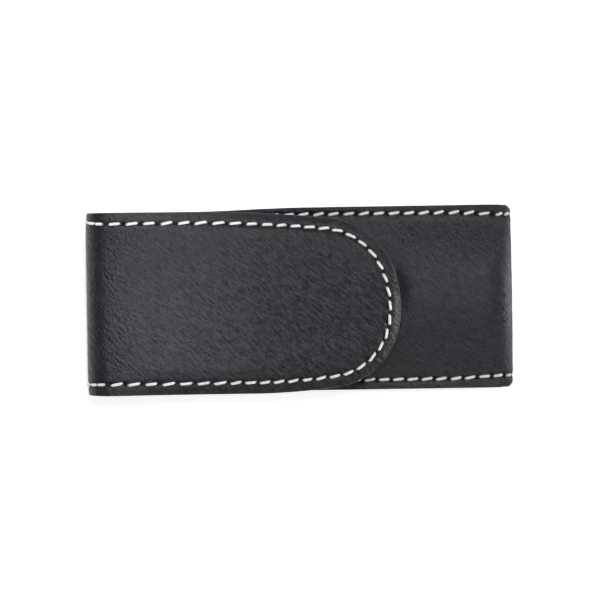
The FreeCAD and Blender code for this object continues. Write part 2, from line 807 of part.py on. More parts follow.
# ---------------------------------------------------------------- flap lining
# with a bed for the card and the stitches, and slits for the prongs
flap_lining_blank = flap_layer("flap_lining_blank", "flap_lining_arc", flap_low,
                               flap_under - flap_low, fold_mid, fold_inner)
flap_tools = fuse("flap_lining_tools", card_slab, thread_inner, stud)
cut("flap_lining", flap_lining_blank, flap_tools)

doc.recompute()

# ---------------------------------------------------------------- checks and files
NODES = [
    "body_leather", "lining_front", "lining_back", "snap_patch", "mouth_thread",
    "upper_seam_thread_front", "upper_seam_thread_back",
    "lower_seam_thread_front", "lower_seam_thread_back",
    "socket_shell", "socket_magnet", "socket_base", "socket_washer",
]
for number in range(1, LINKS + 1):
    NODES += ["fold_%s_%d" % (layer, number) for layer in ("leather", "lining", "thread")]
NODES += ["flap_leather", "flap_lining", "flap_stiffener", "flap_thread_outer",
          "flap_thread_inner", "stud_plate", "stud_washer"]

failed = [obj.Name for obj in doc.Objects if "Invalid" in obj.State or "Error" in obj.State]
if failed:
    raise RuntimeError("objects failed: %s" % failed)
shapes = {obj.Label: obj.Shape for obj in doc.Objects if obj.Label in NODES}
for node in NODES:
    shape = shapes[node]
    if shape.isNull() or not shape.isValid() or not shape.Solids:
        raise RuntimeError("bad shape: %s" % node)
os.makedirs("parts", exist_ok=True)
for node in NODES:
    shapes[node].exportStep("parts/%s.step" % node)
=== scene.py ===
# Looks for the leather flap case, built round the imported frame.
# Lengths in the geometry code are millimetres; meshes are written in metres.
import bpy
import json
import math
import numpy as np
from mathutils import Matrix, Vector
from mathutils.geometry import delaunay_2d_cdt
from mathutils.kdtree import KDTree

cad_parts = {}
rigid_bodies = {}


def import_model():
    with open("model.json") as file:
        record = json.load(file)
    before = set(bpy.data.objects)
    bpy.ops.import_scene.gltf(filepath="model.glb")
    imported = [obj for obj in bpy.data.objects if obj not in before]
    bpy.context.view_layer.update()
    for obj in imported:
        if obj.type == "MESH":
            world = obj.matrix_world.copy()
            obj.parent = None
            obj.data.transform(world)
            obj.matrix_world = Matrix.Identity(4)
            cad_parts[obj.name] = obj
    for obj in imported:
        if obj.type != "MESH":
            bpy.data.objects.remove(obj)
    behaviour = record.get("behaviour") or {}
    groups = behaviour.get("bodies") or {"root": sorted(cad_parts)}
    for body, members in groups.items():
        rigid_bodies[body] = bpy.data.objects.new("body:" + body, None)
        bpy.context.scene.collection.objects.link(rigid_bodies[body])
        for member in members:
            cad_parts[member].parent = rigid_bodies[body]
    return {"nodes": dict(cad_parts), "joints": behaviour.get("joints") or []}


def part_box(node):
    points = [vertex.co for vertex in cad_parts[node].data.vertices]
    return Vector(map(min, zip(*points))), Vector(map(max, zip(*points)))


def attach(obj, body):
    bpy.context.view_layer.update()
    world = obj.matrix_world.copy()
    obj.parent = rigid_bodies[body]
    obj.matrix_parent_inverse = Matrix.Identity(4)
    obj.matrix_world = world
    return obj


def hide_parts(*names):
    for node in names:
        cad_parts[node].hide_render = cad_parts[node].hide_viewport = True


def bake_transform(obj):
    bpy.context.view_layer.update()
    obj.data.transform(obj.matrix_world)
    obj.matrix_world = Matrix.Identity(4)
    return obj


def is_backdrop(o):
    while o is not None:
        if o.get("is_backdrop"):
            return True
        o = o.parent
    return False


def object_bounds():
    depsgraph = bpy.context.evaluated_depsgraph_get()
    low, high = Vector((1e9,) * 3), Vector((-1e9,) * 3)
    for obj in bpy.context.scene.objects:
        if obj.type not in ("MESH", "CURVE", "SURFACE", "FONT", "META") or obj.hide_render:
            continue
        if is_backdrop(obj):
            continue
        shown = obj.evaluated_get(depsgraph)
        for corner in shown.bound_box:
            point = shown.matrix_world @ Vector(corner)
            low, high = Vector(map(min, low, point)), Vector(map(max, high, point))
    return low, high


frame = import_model()
cad_lo, cad_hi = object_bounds()
MM = 0.001

# ------------------------------------------------------------------ frame sizes
joints = frame["joints"]
chain = [joints[0]["parent"]] + [j["child"] for j in joints]
CASE, FLAP = chain[0], chain[-1]
NH = len(joints)


def box_mm(node):
    lo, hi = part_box(node)
    return np.array(lo) * 1000, np.array(hi) * 1000


TOP = box_mm("flap_leather")[1][2]                      # top of the flap
R0 = TOP / 2                                            # outside radius of the fold
CX = cad_lo[0] * 1000 + R0                              # its centre line
XE = cad_hi[0] * 1000                                   # closed end
HW = box_mm("body_leather")[1][1]                       # half width of the pouch
XM = box_mm("mouth_thread")[0][0] - 2.2                 # mouth edge
CROWN = box_mm("socket_shell")[0][2]                    # top of the pouch front
SNAP = (box_mm("socket_shell")[0] + box_mm("socket_shell")[1]) / 2
FY1, FY0 = box_mm("flap_leather")[1][1], box_mm("flap_leather")[0][1]
PATCH = (box_mm("snap_patch")[1] - box_mm("snap_patch")[0])[:2] / 2
FOLD_L = math.pi * R0
LEA, LIN = 1.0, 0.5                                     # leather and lining thickness
GAP_Z = box_mm("flap_lining")[0][2]                     # underside of the flap lining
SEAM = 3.2                                              # thickness at the sewn sides


# ------------------------------------------------------------------ small maths
def smooth(t):
    t = np.clip(t, 0.0, 1.0)
    return t * t * (3 - 2 * t)


def lattice(ix, iy, seed):
    h = (ix * 374761393 + iy * 668265263 + seed * 1442695041) & 0xFFFFFFFF
    h = ((h ^ (h >> 13)) * 1274126177) & 0xFFFFFFFF
    return ((h ^ (h >> 16)) & 0xFFFFFF) / float(0x1000000)


def noise(x, y, seed=0):
    """Gradient noise, about -1 to 1."""
    x, y = np.asarray(x, float), np.asarray(y, float)
    ix, iy = np.floor(x).astype(np.int64), np.floor(y).astype(np.int64)
    fx, fy = x - ix, y - iy
    u, v = fx ** 3 * (fx * (fx * 6 - 15) + 10), fy ** 3 * (fy * (fy * 6 - 15) + 10)

    def g(a, b):
        ang = 2 * np.pi * lattice(ix + a, iy + b, seed)
        return np.cos(ang) * (fx - a) + np.sin(ang) * (fy - b)

    n0 = g(0, 0) * (1 - u) + g(1, 0) * u
    n1 = g(0, 1) * (1 - u) + g(1, 1) * u
    return (n0 * (1 - v) + n1 * v) * 1.5


def unit(v):
    return v / np.maximum(np.linalg.norm(v, axis=-1, keepdims=True), 1e-12)


def nearest(p, q):
    """Distance from each p to the nearest q, and its index."""
    kd = KDTree(len(q))
    for i, (a, b) in enumerate(np.asarray(q, float).tolist()):
        kd.insert((a, b, 0.0), i)
    kd.balance()
    find = kd.find
    got = [find((a, b, 0.0)) for a, b in np.asarray(p, float).tolist()]
    return np.array([g[2] for g in got]), np.array([g[1] for g in got])


class Grid:
    """A field sampled on a regular grid, read back by bilinear interpolation with its slopes."""

    def __init__(self, x0, x1, y0, y1, step, f, soften=0):
        self.x0, self.y0, self.step = x0, y0, step
        self.nx, self.ny = int((x1 - x0) / step) + 2, int((y1 - y0) / step) + 2
        xs, ys = x0 + np.arange(self.nx) * step, y0 + np.arange(self.ny) * step
        X, Y = np.meshgrid(xs, ys, indexing="ij")
        self.v = f(X.ravel(), Y.ravel()).reshape(self.nx, self.ny)
        for _ in range(soften):
            v = np.pad(self.v, 1, mode="edge")
            self.v = (v[:-2, 1:-1] + v[2:, 1:-1] + v[1:-1, :-2] + v[1:-1, 2:] + 2 * v[1:-1, 1:-1]) / 6
        self.gx, self.gy = np.gradient(self.v, step)

    def _at(self, a, x, y):
        fx = np.clip((x - self.x0) / self.step, 0, self.nx - 1.001)
        fy = np.clip((y - self.y0) / self.step, 0, self.ny - 1.001)
        i, j = fx.astype(int), fy.astype(int)
        u, v = fx - i, fy - j
        return (a[i, j] * (1 - u) * (1 - v) + a[i + 1, j] * u * (1 - v)
                + a[i, j + 1] * (1 - u) * v + a[i + 1, j + 1] * u * v)

    def __call__(self, x, y):
        return self._at(self.v, x, y)

    def slope(self, x, y):
        return self._at(self.gx, x, y), self._at(self.gy, x, y)


# ------------------------------------------------------------------ flap outline, as designed
CORNERS = np.array([(-36.386, 26.150), (8.341, 23.874), (27.428, 9.550), (29.582, -7.175),
                    (10.689, -26.082), (-13.529, -27.653)])
RADII = [440.567, 23.126, 33.193, 21.903, 187.469]


def outline(inset, step):
    """The flap's edge, set in, from the fold at the top round the tip to the fold at the bottom.
    Returns points, directions and distance along."""
    pts, tan = [], []
    n = max(2, int((CORNERS[0][0] - CX) / step))
    for x in np.linspace(CX, CORNERS[0][0], n, endpoint=False):
        pts.append((x, FY1 - inset)); tan.append((1.0, 0.0))
    for k, rad in enumerate(RADII):
        a, b = CORNERS[k], CORNERS[k + 1]
        ch = b - a
        L = np.linalg.norm(ch)
        side = np.array([-ch[1], ch[0]]) / L
        c = (a + b) / 2 - side * math.sqrt(rad ** 2 - (L / 2) ** 2)
        a0, a1 = math.atan2(*(a - c)[::-1]), math.atan2(*(b - c)[::-1])
        r = rad - inset
        n = max(2, int(r * (a0 - a1) / step))
        for t in np.linspace(a0, a1, n, endpoint=False):
            pts.append((c[0] + r * math.cos(t), c[1] + r * math.sin(t)))
            tan.append((math.sin(t), -math.cos(t)))
    n = max(2, int((CORNERS[-1][0] - CX) / step))
    for x in np.linspace(CORNERS[-1][0], CX, n):
        pts.append((x, FY0 + inset)); tan.append((-1.0, 0.0))
    pts, tan = np.array(pts), np.array(tan)
    s = np.concatenate([[0], np.cumsum(np.linalg.norm(np.diff(pts, axis=0), axis=1))])
    return pts, tan, s


EDGE_P, EDGE_T, EDGE_S = outline(0.0, 0.3)
LINE_P, LINE_T, LINE_S = outline(3.4, 0.2)              # the flap's stitch line


def on_line(s):
    x, y = np.interp(s, LINE_S, LINE_P[:, 0]), np.interp(s, LINE_S, LINE_P[:, 1])
    tx, ty = np.interp(s, LINE_S, LINE_T[:, 0]), np.interp(s, LINE_S, LINE_T[:, 1])
    return x, y, math.atan2(ty, tx)


# ------------------------------------------------------------------ stitch positions, in strip coordinates
# Strip coordinates: S runs along the leather strip (0 at the foot of the fold, negative on the
# pouch, positive on the fold and the flap), Y runs across it.
def rnd(i, seed):
    return float(lattice(np.int64(i), np.int64(7 * i + 3), seed)) - 0.5


def y_row_front(x, upper):
    if upper:
        return 24.8 - 0.75 * smooth((x - 44.0) / 17.0)
    return -24.05 + 0.75 * smooth((x - 44.0) / 17.0)


marks, d = [], 2.15
while d < LINE_S[-1] - 1.0:
    marks.append(d)
    x, y, a = on_line(d)
    d += 5.0 - 0.95 * float(smooth((x + 27.0) / 22.0))
marks = np.array(marks)
marks = 2.15 + (marks - 2.15) * (LINE_S[-1] - 4.3) / (marks[-1] - 2.15)
FLAP_ST = []                                            # (x, y, angle, length, distance along)
for i, d in enumerate(marks.tolist()):
    d += 0.16 * rnd(i, 9) * (0 < i < len(marks) - 1)
    x, y, a = on_line(d)
    w = float(smooth((x + 27.0) / 22.0))
    FLAP_ST.append((x, y, a, (3.15 - 0.55 * w) * (1 + 0.16 * rnd(i, 5)), d))
FLAP_HOLES = []
marks = [2.15 - 4.3] + [f[4] for f in FLAP_ST] + [FLAP_ST[-1][4] + 4.3]
for a, b in zip(marks[:-1], marks[1:]):
    m = min(max((a + b) / 2, 0.02), LINE_S[-1] - 0.02)
    x, y, ang = on_line(m)
    FLAP_HOLES.append((x, y, ang))


SLUMP, REACH = 0.8, 13.0                                # drop into the fold, and how far along it starts
SLOPE = 2 * SLUMP / REACH


# ------------------------------------------------------------------ the flap's form
def flap_form(x, y):
    """Height of the flap's outer surface."""
    p = np.stack([x, y], 1)
    _, k = nearest(p, EDGE_P)
    ex, ey = EDGE_P[k, 0], EDGE_P[k, 1]
    dist = (x - ex) * EDGE_T[k, 1] - (y - ey) * EDGE_T[k, 0]        # inwards from the edge, so less than 0 outside
    away = np.hypot(x - ex, y - ey)
    dist = np.where(dist < 0, np.maximum(dist, -away), away)
    upper = smooth((ey + 6.0) / 20.0)
    right = smooth((ex - 6.0) / 20.0)
    along = smooth((x - CX) / 22.0)
    # how far the rim hangs below the middle, by place along the edge
    hang = (2.5 * upper + 2.8 * (1 - upper)) * (1 - right) + right * (0.9 * upper + 3.2 * (1 - upper))
    hang = 0.3 + (hang - 0.3) * along
    width = 9.0 - 1.0 * along
    roll = np.clip(1 - dist / width, 0, 1)
    z = TOP - hang * roll ** 2
    # shallow dish between the stitch lines, soft swell of the padding
    yc = (y + 0.75) / 22.0
    inner = smooth((dist - 3.4) / 5.0)
    z += 0.55 * (np.clip(np.abs(yc), 0, 1) ** 2 - 0.75) * inner * smooth((x - CX) / 14.0)
    t = 1 - (x - CX) / REACH
    z -= SLUMP * np.where(t > 0, t, 0.0) ** 2
    z += 0.10 * noise(x / 21.0 + 3.1, y / 17.0 + 1.7, 3) * smooth((x - CX) / 8.0) * smooth(dist / 6)
    return z


FORM = Grid(CX - 1.0, 31.0, FY0 - 1.0, FY1 + 1.0, 0.25, flap_form, 6)


def fold_shrink(v, th=0.0):
    """How much the fold's radius falls short of R0: at its two edges, and over its upper
    quarter, where the flap slopes down into it. v runs 0 to 1 across, th 0 to pi round it."""
    dist = np.minimum(v, 1 - v) * 53.8
    t = np.clip((th - 0.45 * np.pi) / (0.55 * np.pi), 0, None)
    run = 0.55 * np.pi
    slump = SLUMP * (3 * t ** 2 - 2 * t ** 3) + SLOPE * (R0 - SLUMP) * run * (t ** 2 - t ** 3)
    return 0.3 * np.clip(1 - dist / 9.0, 0, 1) ** 2 + slump


# ------------------------------------------------------------------ fine relief of the leather
def creases(S, Y):
    """Soft diagonal wrinkles, strongest over the middle and right of the flap, and a fine pebble."""
    x = S - FOLD_L + CX
    ph = math.radians(-41.0)
    warp = 0.26 * noise(S / 2.4, Y / 2.4, 11) + 1.2 * noise(S / 9.0, Y / 9.0, 16) + 2.5 * noise(S / 30.0, Y / 30.0, 18)
    a = S * math.cos(ph) + Y * math.sin(ph) + 1.2 * noise(S / 5.0 + 4, Y / 5.0, 19)
    b = -S * math.sin(ph) + Y * math.cos(ph) + warp
    n = 0.62 * noise(a / 3.4, b / 0.98, 12) + 0.46 * noise(a / 1.8 + 5, b / 0.62, 13)
    near = smooth((S + 8.0) / 8.0)                      # the pouch carries only the broader waves
    n = near * n + (1 - near) * 0.6 * noise(a / 5.2, b / 2.4, 12)
    peb = 0.60 * noise(S / 0.74, Y / 0.74, 14) + 0.30 * noise(S / 1.25, Y / 1.25, 15)
    flap = smooth((S - 4.0) / 16.0)
    where = 0.24 + 0.76 * np.exp(-(((x - 6.0) / 24.0) ** 2 + ((Y + 7.0) / 22.0) ** 2))
    where = where * flap + 0.24 * (1 - flap)
    calm = 0.85 + 0.35 * noise(S / 8.0, Y / 8.0, 17)
    return CREASE * where * calm * n + PEBBLE * (0.70 + 0.25 * flap) * (0.1 + 0.9 * near) * peb


CREASE, PEBBLE = 0.34, 0.070


def rows_y(S):
    t = smooth(S / FOLD_L)
    return 24.8 + (22.75 - 24.8) * t, -24.05 + (-24.25 + 24.05) * t


# ------------------------------------------------------------------ the pouch's form
LEN_F, LEN_EF, LEN_EB, LEN_B = 53.0 - XM, 11.5, 6.5, 114.0
U = LEN_F + LEN_EF + LEN_EB + LEN_B


def press(x, y):
    """How far the flap presses the pouch in, fading out beyond the flap's edge."""
    p = np.stack([x, y], 1)
    d, k = nearest(p, EDGE_P)
    inward = np.stack([EDGE_T[k, 1], -EDGE_T[k, 0]], 1)
    under = np.sum((p - EDGE_P[k]) * inward, 1) > 0
    return 1.3 * (0.25 + 0.75 * smooth((y + 12.0) / 16.0)) * np.where(under, 1.0, np.clip(1 - d / 6.0, 0, 1) ** 2)


PRESS = Grid(XM - 2.0, XE + 1.0, -HW - 1.0, HW + 1.0, 0.5, press, 4)


def height(x, y):
    """Thickness of the pouch across its width; it is pressed flat round the snap."""
    t = np.clip(np.abs(y) / 23.2, 0, 1)
    h = SEAM + (CROWN - SEAM) * (1 - t * t) ** 1.25
    h = h + 0.12 * noise(x / 23.0 + 9.0, y / 19.0, 31) * (1 - t)
    h = h - PRESS(x, y) * (1 - t * t)
    # the patch behind the snap keeps the front up to its full section
    off = np.hypot(np.clip(np.abs(x - SNAP[0]) - PATCH[0] - 0.6, 0, None), np.clip(np.abs(y) - PATCH[1] - 0.6, 0, None))
    full = CROWN + 0.05 - np.clip(np.abs(y) - 4.0, 0, None) ** 2 / 74.0
    h = h + np.clip(full - h, 0, None) * smooth((5.0 - off) / 5.0)
    r = np.hypot(x - SNAP[0], y - SNAP[1])
    h = h + (CROWN - h) * smooth((11.5 - r) / 4.3)
    return h


def waist(Y):
    return 0.8 * np.clip((Y - 14.0) / (HW - 14.0), 0, None) ** 2


def pouch_base(S, Y):
    """Outer surface of the pouch: front, closed end, back. S from -U (mouth) to 0 (foot of the fold)."""
    u = S + U
    c = np.clip(np.abs(Y) - (HW - 2.2), 0, 2.19)
    xe = XE - (2.2 - np.sqrt(2.2 ** 2 - c ** 2)) - 0.15 * (Y / HW) ** 2
    he = height(np.full_like(Y, 60.0), Y)
    k = he / CROWN
    a, b = 9.5 * k, he / 2
    xf, xb = xe - a, xe - b
    x, z = np.zeros_like(u), np.zeros_like(u)
    m = u < LEN_F
    t = u / LEN_F
    xs = XM + t * (xf - XM)
    x = np.where(m, xs, x)
    hx = height(xs, Y)
    hx = hx + (he - hx) * smooth((xs - 30.0) / 22.0)
    z = np.where(m, hx, z)
    m = (u >= LEN_F) & (u < LEN_F + LEN_EF)
    t = (u - LEN_F) / LEN_EF * np.pi / 2
    x, z = np.where(m, xf + a * np.sin(t), x), np.where(m, he / 2 + he / 2 * np.cos(t), z)
    m = (u >= LEN_F + LEN_EF) & (u < LEN_F + LEN_EF + LEN_EB)
    t = (u - LEN_F - LEN_EF) / LEN_EB * np.pi / 2
    x, z = np.where(m, xb + b * np.cos(t), x), np.where(m, he / 2 - he / 2 * np.sin(t), z)
    m = u >= LEN_F + LEN_EF + LEN_EB
    t = (u - LEN_F - LEN_EF - LEN_EB) / LEN_B
    xx = xb + t * (CX - xb)
    lift = fold_shrink((Y + HW) / (2 * HW)) * smooth((CX + 16.0 - xx) / 16.0)
    x, z = np.where(m, xx, x), np.where(m, lift, z)
    return np.stack([x, Y - waist(Y) * smooth((2.0 - x) / 34.0), z], -1)


def flap_base(S, Y):
    x = S - FOLD_L + CX
    return np.stack([x, Y, FORM(x, Y)], -1)


def fold_edges(S):
    t = smooth(S / FOLD_L)
    return -HW + (FY0 + HW) * t, HW + (FY1 - HW) * t


def fold_base(S, Y):
    """The left-hand fold. Y is across, between the strip's edges."""
    y0, y1 = fold_edges(S)
    v = np.clip((Y - y0) / (y1 - y0), 0, 1)
    th = S / R0
    r = R0 - fold_shrink(v, th)
    return np.stack([CX - r * np.sin(th), Y - waist(Y) * (1 - smooth(S / FOLD_L)), R0 - r * np.cos(th)], -1)


class Sheet:
    """One sheet of material lying at a depth below an outer surface."""

    def __init__(self, base, outward, relief=None):
        self.base, self.outward, self.relief = base, outward, relief

    def frame(self, q):
        e = 0.2
        S, Y = q[:, 0], q[:, 1]
        p = self.base(S, Y)
        ds = (self.base(S + e, Y) - self.base(S - e, Y)) / (2 * e)
        dy = (self.base(S, Y + e) - self.base(S, Y - e)) / (2 * e)
        n = unit(np.cross(ds, dy)) * self.outward
        return p, ds, dy, n

    def at(self, q, w=0.0, share=1.0):
        """Points at depth w. share is how much of the fine relief they carry."""
        p, ds, dy, n = self.frame(q)
        w = np.broadcast_to(np.asarray(w, float), (len(q),))
        out = p - n * w[:, None]
        if self.relief is not None:
            out = out + n * (self.relief(q[:, 0], q[:, 1]) * share)[:, None]
        return out

    def normal(self, q):
        p, ds, dy, n = self.frame(q)
        if self.relief is None:
            return n
        fs, fy = self.relief.slope(q[:, 0], q[:, 1])
        ls, ly = np.linalg.norm(ds, axis=1), np.linalg.norm(dy, axis=1)
        ls = np.maximum(ls, 0.25)
        return unit(n - unit(ds) * (fs / ls)[:, None] - unit(dy) * (fy / ly)[:, None])


# ---------------- stitches along the seams of the pouch
TABLE = {}
for y in (24.5, -23.8):
    ss = np.linspace(-U, -U + LEN_F + LEN_EF, 1500)
    TABLE["front", y > 0] = (pouch_base(ss, np.full_like(ss, y))[:, 0], ss)
    ss = np.linspace(-LEN_B - LEN_EB, 0, 1500)
    TABLE["back", y > 0] = (-pouch_base(ss, np.full_like(ss, y))[:, 0], ss)


def x_to_s_front(x, y):
    """Strip coordinate of a place on the front, by its distance along the case."""
    return float(np.interp(x, *TABLE["front", y > 0]))


def x_to_s_back(x, y):
    return float(np.interp(-x, *TABLE["back", y > 0]))


SEAMS = {}
for upper in (True, False):
    x0, pitch = (59.05, 4.42) if upper else (58.25, 4.22)
    xs = [61.25 if upper else 61.15] + [x0 - pitch * i + 0.12 * rnd(i, 40 + upper) for i in range(28)]
    xs = [x for x in xs if x > XM + 1.9]
    front = [(x_to_s_front(x, y_row_front(x, upper)), y_row_front(x, upper)) for x in xs]
    back_x = [x for x in xs[1:]]
    while back_x[-1] - pitch > CX + 1.0:
        back_x.append(back_x[-1] - pitch)
    back = [(x_to_s_back(x, y_row_front(x, upper)), y_row_front(x, upper)) for x in back_x]
    SEAMS[upper] = (front, back)

HOLES = []                                              # (S, Y) of every needle hole
for upper in (True, False):
    for run in SEAMS[upper]:
        run = sorted(run)
        for (s0, y0), (s1, y1) in zip(run[:-1], run[1:]):
            HOLES.append(((s0 + s1) / 2, (y0 + y1) / 2))
        HOLES.append((run[0][0] - 2.2, run[0][1]))
        HOLES.append((run[-1][0] + 2.1, run[-1][1]))
for x, y, a in FLAP_HOLES:
    HOLES.append((x - CX + FOLD_L, y))
FOLD_ST = []                                            # (link, S, Y)
for i in range(1, NH):
    s = FOLD_L * i / NH
    up, lo = rows_y(np.array([s]))
    FOLD_ST += [(i, s, float(up[0])), (i, s, float(lo[0]))]
for i in range(0, NH):
    s = FOLD_L * (i + 0.5) / NH
    up, lo = rows_y(np.array([s]))
    HOLES += [(s, float(up[0])), (s, float(lo[0]))]
MOUTH = []
for i in range(-4, 5):
    MOUTH.append((-U + 2.6, i * 4.5))
for i in range(-5, 5):
    HOLES.append((-U + 2.6, (i + 0.5) * 4.5))
HOLES = np.array(HOLES)


def relief_at(S, Y):
    """Creases, the sunk stitch line, and a dimple at each needle hole."""
    f = creases(S, Y)
    x = S - FOLD_L + CX
    p = np.stack([x, Y], 1)
    on_flap = S > FOLD_L
    up, lo = rows_y(np.clip(S, 0, FOLD_L))
    dline = np.minimum(np.abs(Y - up), np.abs(Y - lo))
    if on_flap.any():
        dline = np.where(on_flap, nearest(p, LINE_P[::2])[0], dline)
    pouch = S < 0
    if pouch.any():
        xx = pouch_base(S, Y)[:, 0]
        dpo = np.minimum(np.abs(Y - y_row_front(xx, True)), np.abs(Y - y_row_front(xx, False)))
        dmo = np.where(np.abs(Y) < 21.5, np.abs(S + U - 2.6), 9.0)
        dline = np.where(pouch, np.minimum(dpo, dmo), dline)
    dh, _ = nearest(np.stack([S, Y], 1), HOLES)
    pull = np.exp(-(dh / 1.3) ** 2)                     # the thread pulls hardest at the holes
    f = f - (0.13 + 0.15 * pull) * np.exp(-(dline / 0.75) ** 2)
    f = f + 0.07 * np.exp(-((dline - 1.5) / 0.8) ** 2)   # the leather stands up beside the line
    f = f - 0.55 * np.exp(-(dh / 0.42) ** 2)
    return f


STEP_R = 0.18
REL_POUCH = Grid(-U - 1, 1.0, -HW - 1, HW + 1, STEP_R * 1.3, relief_at)
REL_FOLD = Grid(-1.5, FOLD_L + 1.5, FY0 - 1, HW + 1, STEP_R, relief_at)
REL_FLAP = Grid(FOLD_L - 1.0, FOLD_L - CX + 31.0, FY0 - 1, FY1 + 1, STEP_R, relief_at)

POUCH = Sheet(pouch_base, -1.0, REL_POUCH)
FOLD = Sheet(fold_base, -1.0, REL_FOLD)
FLAPS = Sheet(flap_base, 1.0, REL_FLAP)
# signs: each outward normal must point away from the leather strip's inner side
for sheet, q in ((POUCH, (-U + 50.0, 5.0)), (FOLD, (FOLD_L / 2, 0.0)), (FLAPS, (FOLD_L + 30.0, 0.0))):
    n = sheet.frame(np.array([q]))[3][0]
    want = np.array([-1.0, 0, 0]) if sheet is FOLD else np.array([0, 0, 1.0])
    if n @ want < 0:
        sheet.outward *= -1


# ------------------------------------------------------------------ mesh writing
def make_object(name, verts, faces, normals=None, tex=None, rim=None, hole=None, mats=()):
    me = bpy.data.meshes.new(name)
    me.from_pydata((np.asarray(verts) * MM).tolist(), [], faces)
    me.polygons.foreach_set("use_smooth", [True] * len(me.polygons))
    # the 'hole' attribute carries painted shade: round the needle holes on the leather, and where the thread dives into
    # them
    for key, kind, data in (("strip", "FLOAT_VECTOR", tex), ("rim", "FLOAT", rim), ("hole", "FLOAT", hole)):
        if data is not None:
            at = me.attributes.new(key, kind, "POINT")
            at.data.foreach_set("vector" if kind == "FLOAT_VECTOR" else "value",
                                np.asarray(data, np.float32).ravel())
    for m in mats:
        me.materials.append(m)
    me.update()
    if normals is not None:
        me.normals_split_custom_set_from_vertices(np.asarray(normals).tolist())
    ob = bpy.data.objects.new(name, me)
    bpy.context.scene.collection.objects.link(ob)
    return ob


def rim_profile(thk, edge):
    """Round of the cut edge: (inset, depth, angle from the outer surface) from top to bottom, ends included."""
    out = []
    r = min(edge, thk / 2 - 0.02)
    for i in range(5):
        t = math.pi / 2 * i / 4
        out.append((r - r * math.sin(t), r - r * math.cos(t), t))
    for i in range(5):
        t = math.pi / 2 * i / 4
        out.append((r - r * math.cos(t), thk - r + r * math.sin(t), math.pi / 2 + t))
    return out


def cdt(boundary, inner):
    pts = [Vector((float(a), float(b))) for a, b in np.vstack([boundary, inner])]
    n = len(boundary)
    edges = [(i, (i + 1) % n) for i in range(n)]
    v, _, f, ov, _, _ = delaunay_2d_cdt(pts, edges, [], 1, 1e-7, True)
    back = {}
    for new, olds in enumerate(ov):
        for o in olds:
            back[o] = new
    co = np.array([(p.x, p.y) for p in v])
    return co, f, [back[i] for i in range(n)]


def hexgrid(x0, x1, y0, y1, step):
    rows = int((y1 - y0) / (step * 0.866)) + 1
    out = []
    for j in range(rows):
        y = y0 + j * step * 0.866
        xs = np.arange(x0 + (0.5 * step if j % 2 else 0.0), x1, step)
        out.append(np.stack([xs, np.full_like(xs, y)], 1))
    return np.vstack(out)


